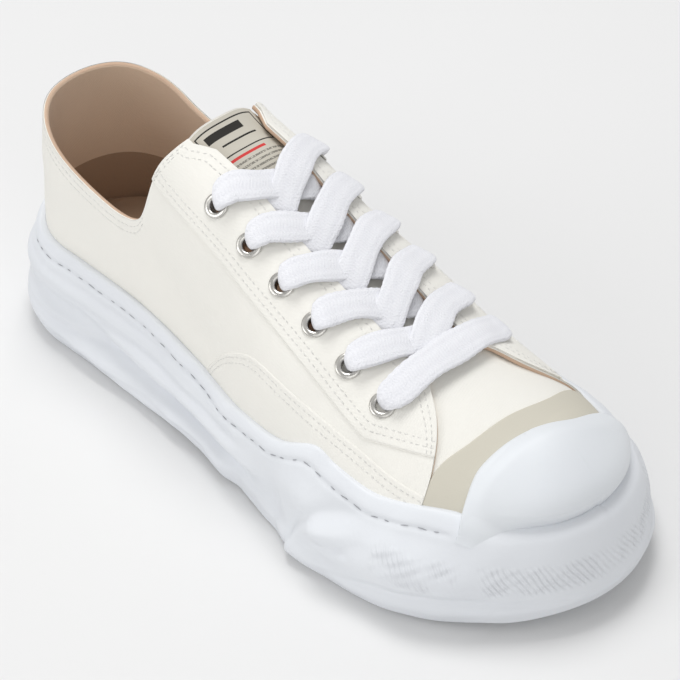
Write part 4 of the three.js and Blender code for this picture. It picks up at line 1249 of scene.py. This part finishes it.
def tongue_lift(x, y, rear):
    """The tongue's upper face: under the throat, a little wavy, up again at its free end."""
    depth = WALL + GAP + 1.6 * smooth((THROAT_FRONT + THROAT_FLARE - y) / 30) - 0.5
    return 0.35 * np.sin(y * 0.21 + 0.6) * np.cos(x * 0.1) + 0.9 * smooth((rear + 14 - y) / 14) - depth


def make_tongue():
    front = THROAT_FRONT + 14
    v = np.concatenate([np.linspace(0, 0.05, 8), np.linspace(0.065, 1, 90)])
    w = np.linspace(1, -1, 61)
    V, W = np.meshgrid(v, w, indexing="ij")
    y = TONGUE_REAR + V * (front - TONGUE_REAR)
    narrow = TONGUE_WIDTH / 2 - 8 * (1 - round_edge(y - TONGUE_REAR, 8))
    x = centre_of(np.clip(at_of(y), 0.1, 0.88)) * BALL_WIDTH + W * narrow
    points = on_plan(x, y, tongue_lift(x, y, TONGUE_REAR))
    piece = sheet("tongue_cloth", points, cloth_uv(points), looks=[TONGUE_CANVAS, RAW_EDGE, LINING])
    thicken(piece, TONGUE_THICKNESS * 0.72, rim=1, inner=2)
    finish_mesh(piece, 50)
    wear(piece, "tongue_canvas", "tongue")


make_tongue()


def label_look():
    """A plain patch: thin dark frame, plain bars, one red bar."""
    look, tree, shader, coords = start_look("woven_label", 0.85, specular=0.2)
    across, along = split_vector(tree, coords.outputs["UV"])

    def between(value, low, high):
        above, below = sums(tree, "GREATER_THAN", value, low), sums(tree, "LESS_THAN", value, high)
        return sums(tree, "MULTIPLY", above, below)

    def box(x0, x1, y0, y1):
        return sums(tree, "MULTIPLY", between(across, x0, x1), between(along, y0, y1))

    frame_outer, frame_inner = box(2.0, 31.0, 1.6, 16.0), box(2.6, 30.4, 2.2, 15.4)
    ink = sums(tree, "SUBTRACT", frame_outer, frame_inner)
    ink = sums(tree, "ADD", ink, box(5.0, 23.0, 4.0, 7.4))
    ink = sums(tree, "ADD", ink, box(9.0, 26.0, 10.4, 11.2))
    grains = noise(tree, coords.outputs["UV"], 1.3, 2)
    rows = sums(tree, "LESS_THAN", sums(tree, "FRACT", sums(tree, "DIVIDE", along, 2.3)), 0.42)
    broken = sums(tree, "GREATER_THAN", grains, 0.44)
    small = sums(tree, "MULTIPLY", sums(tree, "MULTIPLY", rows, broken), box(3.0, 30.0, 20.6, 40.5))
    ink = sums(tree, "ADD", ink, sums(tree, "MULTIPLY", small, 0.62), clamp=True)
    red = box(3.0, 24.0, 17.7, 19.0)
    weave = use_group(tree, WEAVE, UV=coords.outputs["UV"], Pitch=0.5)
    ground = blend(tree, weave.outputs["Shade"], (0.55, 0.52, 0.45), (0.64, 0.61, 0.54))
    inked = blend(tree, ink, ground, (0.035, 0.033, 0.03))
    tree.links.new(blend(tree, red, inked, (0.62, 0.06, 0.06)), shader.inputs["Base Color"])
    bump(tree, shader, weave.outputs["Height"], 0.06, 0.7)
    return look


def make_label():
    rear = TONGUE_REAR + 0.8
    cx = centre_of(EYESTAY_CORNER) * BALL_WIDTH
    down, across = np.linspace(0, LABEL_LENGTH, 50), np.linspace(1, -1, 40) * LABEL_WIDTH / 2
    y, x = np.meshgrid(rear + down, cx + across, indexing="ij")
    points = on_plan(x, y, tongue_lift(x, y, rear) + 0.55)
    uv = np.stack([run_lengths(points, 1), run_lengths(points, 0)], -1)
    piece = sheet("label_patch", points, uv, looks=[label_look()])
    thicken(piece, 0.5)
    finish_mesh(piece, 60)
    wear(piece, "label_cloth", "tongue_label")


make_label()


def make_footbed():
    """The insole's dished top and its edge."""
    at = (1 - np.cos(np.linspace(0.02, 0.98, 150) * np.pi)) / 2
    w = np.linspace(1, -1, 60)
    A, W = np.meshgrid(at, w, indexing="ij")
    side = np.where(W >= 0, 1.0, -1.0)
    middle = (outline_x(A, 1) + outline_x(A, -1)) / 2
    x = middle + (outline_x(A, side) - middle - side * 2.6) * np.abs(W)
    dish = (1 - W * W) * bell((A - 0.12) / 0.12)
    z = floor_of(A) * HEEL_FLOOR + GAP + INSOLE_THICKNESS - dish + 2.5 * W ** 8
    points = np.stack([x, y_of(A) * 0.985, z], -1)
    # Its dark brown is partly painted shade for the deep inside of the shoe.
    piece = sheet("footbed_cloth", points, cloth_uv(points), looks=[FOOTBED_BROWN_AND_PAINTED_SHADE])
    thicken(piece, 3.2)
    finish_mesh(piece, 50)
    wear(piece, "footbed", "insole")


make_footbed()


# Eyelets
FLANGE_RISE = 0.55  # the flange's height as a share of a round ring's
TUBE_LENGTH, TUBE_WALL = 4.6, 0.4


def punch(piece, radius):
    """Holes through the cloth at the eyelets' seats, their edges hidden under the flanges."""
    cloth = bmesh.new()
    cloth.from_mesh(piece.data)
    for side in (1, -1):
        for i in range(EYELETS):
            s, turn = seat(*eyelet_place(i, side))
            place = Vector((wall_at(s, turn) + SHIFT) * MM)
            normal = Vector(wall_normal(s, turn))

            def off(point):
                way = point - place
                deep = way.dot(normal)
                return (way - normal * deep).length / MM if abs(deep) < 4.5 * MM else 1e9

            for _ in range(2):
                near = [face for face in cloth.faces if off(face.calc_center_median()) < radius + 1.0]
                edges = {edge for face in near for edge in face.edges if edge.calc_length() > 0.7 * MM}
                bmesh.ops.subdivide_edges(cloth, edges=list(edges), cuts=1, use_grid_fill=True)
            gone = [face for face in cloth.faces if all(off(v.co) < radius for v in face.verts)]
            bmesh.ops.delete(cloth, geom=gone, context="FACES")
    cloth.to_mesh(piece.data)
    cloth.free()


def make_eyelets():
    """One rolled eyelet, made once at the origin and copied to its twelve seats."""
    bpy.ops.object.select_all(action="DESELECT")
    bpy.ops.mesh.primitive_torus_add(
        major_segments=44, minor_segments=14, major_radius=(EYELET_OUTER + EYELET_HOLE) / 4 * MM,
        minor_radius=(EYELET_OUTER - EYELET_HOLE) / 4 * MM)
    ring = bpy.context.active_object
    for vertex in ring.data.vertices:
        vertex.co.z *= FLANGE_RISE
        if vertex.co.z < 0:
            vertex.co.z *= 0.5
    bpy.ops.object.select_all(action="DESELECT")
    bpy.ops.mesh.primitive_cylinder_add(
        vertices=44, radius=(EYELET_HOLE / 2 + 0.45) * MM, depth=TUBE_LENGTH * MM, end_fill_type="NOTHING",
        location=(0, 0, -TUBE_LENGTH / 2 * MM))
    tube = bpy.context.active_object
    bpy.ops.object.transform_apply(location=True, rotation=True, scale=True)
    thicken(tube, TUBE_WALL)
    eyelet = join("eyelet_model", [ring, tube])
    eyelet.data.materials.append(NICKEL)
    finish_mesh(eyelet, 60)
    for side, word in SIDES.items():
        for i in range(EYELETS):
            x, y = eyelet_place(i, side)
            s, turn = seat(x, y)
            place, normal = wall_at(s, turn), wall_normal(s, turn)
            at = place + normal * (EYESTAY_FACE + 0.25)
            copy = bpy.data.objects.new(f"eyelet_ring_{word}_{i + 1}", eyelet.data.copy())
            bpy.context.collection.objects.link(copy)
            turn_to = Vector(normal).to_track_quat("Z", "Y").to_matrix().to_4x4()
            copy.data.transform(Matrix.Translation((at + SHIFT) * MM) @ turn_to)
            wear(copy, "eyelet_metal", f"eyelet_{word}_{i + 1}")
    bpy.data.objects.remove(eyelet)
    for name in ("quarters_canvas", "eyestay_canvas_lateral", "eyestay_canvas_medial"):
        punch(bpy.data.objects[name], EYELET_OUTER / 2 - 0.7)


make_eyelets()


# Lace
RIBBON_STEPS = 110
TAPE_ROUND = 26.0  # millimetres round the tape, for the braid


def ribbon(name, stops, widths, thicks, twist=0.0):
    """A soft flat tape through stops (x, y, height over the last), smoothed, with its own widths."""
    stops = np.asarray(stops, float)
    key = run_lengths(stops[None, :, :3], 1)[0]
    key /= key[-1]
    t = np.linspace(0, 1, RIBBON_STEPS)
    x, y, h = [table_curve(np.stack([key, stops[:, c]], -1))(t) for c in range(3)]
    s, turn = seat(x, y)
    normal = wall_normal(s, turn)
    line = wall_at(s, turn) + normal * h[:, None]
    for _ in range(2):
        line[1:-1] = (line[:-2] + 2 * line[1:-1] + line[2:]) / 4
    run = unit(np.gradient(line, axis=0))
    in_plan = np.stack([np.gradient(x), np.gradient(y), 0 * x], -1)
    lead = unit(np.mean(in_plan[20:90], axis=0))
    flat = unit(np.cross(unit(np.mean(normal, axis=0)), lead))
    across = unit(flat - run * np.sum(run * flat, -1, keepdims=True))
    up = unit(np.cross(run, across))
    width = np.interp(t, key, widths) / 2
    thick = np.interp(t, key, thicks) / 2
    around = np.linspace(0, 2 * np.pi, 33)
    c, sn = np.cos(around), np.sin(around)
    a = np.sign(c) * np.abs(c) ** 0.62
    b = np.sign(sn) * np.abs(sn) ** 0.6
    crown = 0.1 * (1 - a**2)
    ripple = np.sin(t[:, None] * 137 + twist + 3 * np.sin(around * 5)[None, :])
    fuzz = 1 + 0.018 * ripple * np.sin(around * 7 + twist)[None, :]
    sway = 0.35 * np.sin(t * 7 + twist * 2)[:, None]
    wobble = (1 + 0.04 * np.sin(t * 17 + twist)[:, None]) * fuzz
    lift = b[None, :] + crown[None, :] + 0.12 * np.sin(t * 23 + twist)[:, None] * a[None, :]
    points = (line[:, None] + across[:, None] * (a[None, :] * width[:, None] * wobble + sway)[..., None]
              + up[:, None] * (lift * thick[:, None] * fuzz)[..., None])
    length = run_lengths(line[None], 1)[0]
    uv = np.stack(np.broadcast_arrays(around[None, :] / (2 * np.pi) * TAPE_ROUND, length[:, None]), -1)
    piece = sheet(name, points, uv, looks=[LACE])
    weld(piece, 0.02)
    return piece


def into_eyelet(i, side):
    """Last stops of a tape: over the flange and down the hole."""
    x, y = eyelet_place(i, side)
    return [(x - side * 6.4, y + 1.7, 4.3), (x - side * 3.0, y + 0.6, 4.5), (x - side * 1.3, y + 0.2, 3.4),
            (x - side * 0.8, y, 1.2), (x - side * 0.6, y, -2.6)]


# A crossing's two tapes: across from the middle to the eyelet's side, y ahead of the eyelet, height.
# The inner side's tape lies on top.
STRAND_STOPS = {
    -1: [
        (-19, 19.4, -3.6), (-13.4, 18.2, -2.8), (-9.4, 16.6, 0.4),
        (-2.5, 12.6, 3.3), (7, 7.3, 4.7), (12.8, 4.2, 4.7),
    ],
    1: [
        (-19, 18.6, -3.6), (-13.6, 17.2, -2.8), (-9, 15.6, -0.4),
        (-1.6, 12.4, 0.7), (6, 9.2, 2.0), (12.8, 5.8, 3.5),
    ],
}
STRAND_WIDTHS = [10.5, 11.6, 12.4, 12.8, 13, 12.8, 12.4, 11.4, 8.4, 4.8, 4]
STRAND_THICKS = [1.6, 1.8, 2.1, 2.2, 2.3, 2.4, 2.6, 3.1, 3.6, 3.4, 3]
BAR_WIDTHS = [4, 4.8, 8.4, 11.4, 12.8, 13.4, 13.6, 13.2, 12.6, 11.4, 8.4, 4.8, 4]
BAR_THICKS = [3, 3.4, 3.6, 3.1, 2.6, 2.4, 2.3, 2.3, 2.6, 3.1, 3.6, 3.4, 3]


def strand(i, side):
    """From under the far edge, almost at the next eyelet, over the tongue and into eyelet i."""
    x, y = eyelet_place(i, side)
    cx = x - side * half_spread(i / (EYELETS - 1))
    stops = [(cx + side * across, y + run, high) for across, run, high in STRAND_STOPS[side]]
    stops += into_eyelet(i, side)
    return ribbon(f"strand_{i}_{side}", stops, STRAND_WIDTHS, STRAND_THICKS, twist=i * 1.7 + side)


def make_lace():
    for i in range(EYELETS - 1):
        crossing = join(f"lace_tape_{i + 1}", [strand(i, 1), strand(i, -1)])
        finish_mesh(crossing)
        wear(crossing, "lace_cotton", f"lace_crossing_{i + 1}")
    last = EYELETS - 1
    y = EYELET_Y[last]
    stops = into_eyelet(last, -1)[::-1] + [(-14, y + 2.2, 5.0), (2, y + 3.0, 4.6), (17, y + 2.4, 5.0)]
    bar = ribbon("lace_lowest_bar", stops + into_eyelet(last, 1), BAR_WIDTHS, BAR_THICKS)
    finish_mesh(bar)
    wear(bar, "lace_cotton", "lace_bar")


make_lace()


# Stitches
def stitch_model():
    bpy.ops.object.select_all(action="DESELECT")
    bpy.ops.mesh.primitive_uv_sphere_add(segments=6, ring_count=5, radius=1)
    ball = bpy.context.active_object
    verts = np.array([v.co[:] for v in ball.data.vertices])
    verts = verts[:, [2, 0, 1]]  # poles along the run
    faces = [tuple(p.vertices) for p in ball.data.polygons]
    bpy.data.objects.remove(ball)
    return verts, faces


STITCH = stitch_model()
COLLAR_END = 0.362  # s where the collar's stitches stop
SOLE_STITCH_END = {1: 0.878, -1: 0.893}


def stitch_row(line, normals, pitch=2.5, length=1.5, width=0.5, height=0.14, sink=0.02, uneven=0.6):
    """Places of stitches along a line on a face."""
    run = run_lengths(line[None], 1)[0]
    count = max(2, int(run[-1] // pitch))
    found = []
    for k in range(count):
        middle = (k + 0.5 + uneven * 0.12 * math.sin(k * 2.3)) * run[-1] / count
        size = 1 + uneven * 0.35 * math.sin(k * 1.7 + 0.5 * math.sin(k * 0.9))
        ends = [
            np.array([np.interp(d, run, line[:, c]) for c in range(3)])
            for d in (middle - length * size / 2, middle + length * size / 2)
        ]
        normal = unit(np.array([np.interp(middle, run, normals[:, c]) for c in range(3)]))
        along = ends[1] - ends[0]
        half = np.linalg.norm(along) / 2
        along /= max(half * 2, 1e-9)
        across = unit(np.cross(normal, along))
        up = np.cross(along, across)
        lean = uneven * 0.14 * math.sin(k * 3.1)
        along, across = along + across * lean, across - along * lean
        frame_ = np.stack([along * half, across * width / 2, up * height], 0)
        found.append(STITCH[0] @ frame_ + (ends[0] + ends[1]) / 2 + normal * sink)
    return found


def stitches(name, look, slot, places):
    """One joined mesh of all the stitches at their places."""
    verts = (np.concatenate(places) + SHIFT) * MM
    faces = []
    for k in range(len(places)):
        faces += [tuple(v + k * len(STITCH[0]) for v in face) for face in STITCH[1]]
    mesh = bpy.data.meshes.new(name)
    mesh.from_pydata(verts.tolist(), [], faces)
    mesh.uv_layers.new(name="UVMap")
    mesh.materials.append(look)
    piece = bpy.data.objects.new(name, mesh)
    bpy.context.collection.objects.link(piece)
    weld(piece, 0.001)
    finish_mesh(piece)
    wear(piece, slot)


def face_stitches(s, turn, out):
    """Stitches along a line on the shoe's face."""
    return stitch_row(skin(s, turn, out), wall_normal(s, turn))


def inset_line(s, low, high, distance, from_top):
    """turn at a distance in from the top or bottom edge of a strip."""
    share = np.linspace(0, 1, 60)
    turn = low[:, None] + (high - low)[:, None] * share[None, :]
    base = wall_at(np.broadcast_to(s[:, None], turn.shape), turn)
    run = run_lengths(base, 1)
    target = run[:, -1] - distance if from_top else np.full(len(s), float(distance))
    good = (target > 0) & (target < run[:, -1])
    found = np.array([np.interp(target[k], run[k], turn[k]) for k in range(len(s))])
    return found, good


def stitch_cloth():
    places = []
    for side in SIDES:
        s, low, top = eyestays[side]
        for distance in EYESTAY_ROWS:
            turn, good = inset_line(s, low, top, distance, False)
            base = wall_at(s, turn)
            good &= at_of(base[:, 1]) < 0.86
            out = EYESTAY_FACE - 0.05 + creases(base, np.full(len(s), float(side)))
            places += face_stitches(s[good], turn[good], out[good])
        for distance in THROAT_ROWS:  # along the throat and round the front edge
            turn, good = inset_line(s, low * 0, top, distance, True)
            good &= turn > low
            base = wall_at(s, turn)
            sides = np.full(len(s), float(side))
            out = EYESTAY_FACE + gape(base, sides, distance) + creases(base, sides) * 0.5
            places += face_stitches(s[good], turn[good], out[good])
        s, top = panels[side]
        at, _ = split(s)
        for distance in PANEL_ROWS:
            turn, good = inset_line(s, top * 0, top, distance, True)
            good &= (top > 0.04) & (at > 0.42) & (at < 0.835)
            out = QUARTER_STEP + PANEL_STEP - 0.05 + creases(wall_at(s, turn), np.full(len(s), float(side)))
            places += face_stitches(s[good], turn[good], out[good])
    behind = np.abs(quarter_s) < COLLAR_END
    s, top = quarter_s[behind], quarter_top[behind]
    _, side = split(s)
    for distance in COLLAR_ROWS:
        turn, _ = inset_line(s, top * 0, top, distance, True)
        out = QUARTER_STEP + creases(wall_at(s, turn), side) * smooth(distance / 6)
        places += face_stitches(s, turn, out)
    stitches("canvas_stitches", THREAD, "canvas", places)


def stitch_sole():
    """In the groove under the rim."""
    s, side = sole_steps()
    at, _ = split(s)
    full = side_height(at, 1.0)
    h = 1 - STITCH_DROP / full
    z = under_of(at) * TOE_SPRING + h * full
    out = stand_off(at, side, h) + rubber_detail(at, side, h) + 0.15
    line = beside_wall(s, settle(at, side, z), out)
    away = wall_normal(s, np.zeros_like(s))
    places = []
    for which, end in SOLE_STITCH_END.items():
        keep = (side == which) & (at > 0.0) & (at < end)
        places += stitch_row(line[keep], away[keep], pitch=6.4, length=3.1, width=0.42, height=0.22,
                             uneven=1.0)
    stitches("sole_stitches", SOLE_THREAD, "sole_rubber", places)


stitch_cloth()
stitch_sole()


# Floor and light
LAMPS = [  # place and size in metres, power
    ("soft_top", (-0.25, -0.35, 1.5), 0.7, 12.0),
    ("soft_front", (0.9, 1.1, 0.9), 1.2, 4.6),
    ("soft_side", (1.3, -0.5, 0.7), 1.0, 5.8),
]
LIT_PLACE = (0, 0.02, 0.04)
WORLD_STRENGTH = 0.5
PAPER = 0.785


def make_studio():
    bpy.ops.object.select_all(action="DESELECT")
    bpy.ops.mesh.primitive_plane_add(size=8, location=(0, 0, -0.0002))
    floor = bpy.context.active_object
    floor.name = "studio_floor"
    bpy.ops.object.transform_apply(location=True, rotation=True, scale=True)
    paper = bpy.data.materials.new("pale_paper")
    paper.use_nodes = True
    shader = paper.node_tree.nodes["Principled BSDF"]
    shader.inputs["Base Color"].default_value = (PAPER, PAPER, PAPER, 1)
    shader.inputs["Roughness"].default_value = 0.9
    shader.inputs["Specular IOR Level"].default_value = 0.1
    floor.data.materials.append(paper)
    world = bpy.context.scene.world or bpy.data.worlds.new("studio")
    bpy.context.scene.world = world
    world.use_nodes = True
    world.node_tree.nodes["Background"].inputs[0].default_value = (1, 1, 1, 1)
    world.node_tree.nodes["Background"].inputs[1].default_value = WORLD_STRENGTH
    for name, place, size, power in LAMPS:
        bpy.ops.object.light_add(type="AREA", location=place)
        lamp = bpy.context.active_object
        lamp.name = name
        lamp.data.size = size
        lamp.data.energy = power
        aim = Vector(LIT_PLACE) - Vector(place)
        lamp.rotation_euler = aim.to_track_quat("-Z", "Y").to_euler()
    bpy.context.scene.view_settings.view_transform = "Standard"


make_studio()
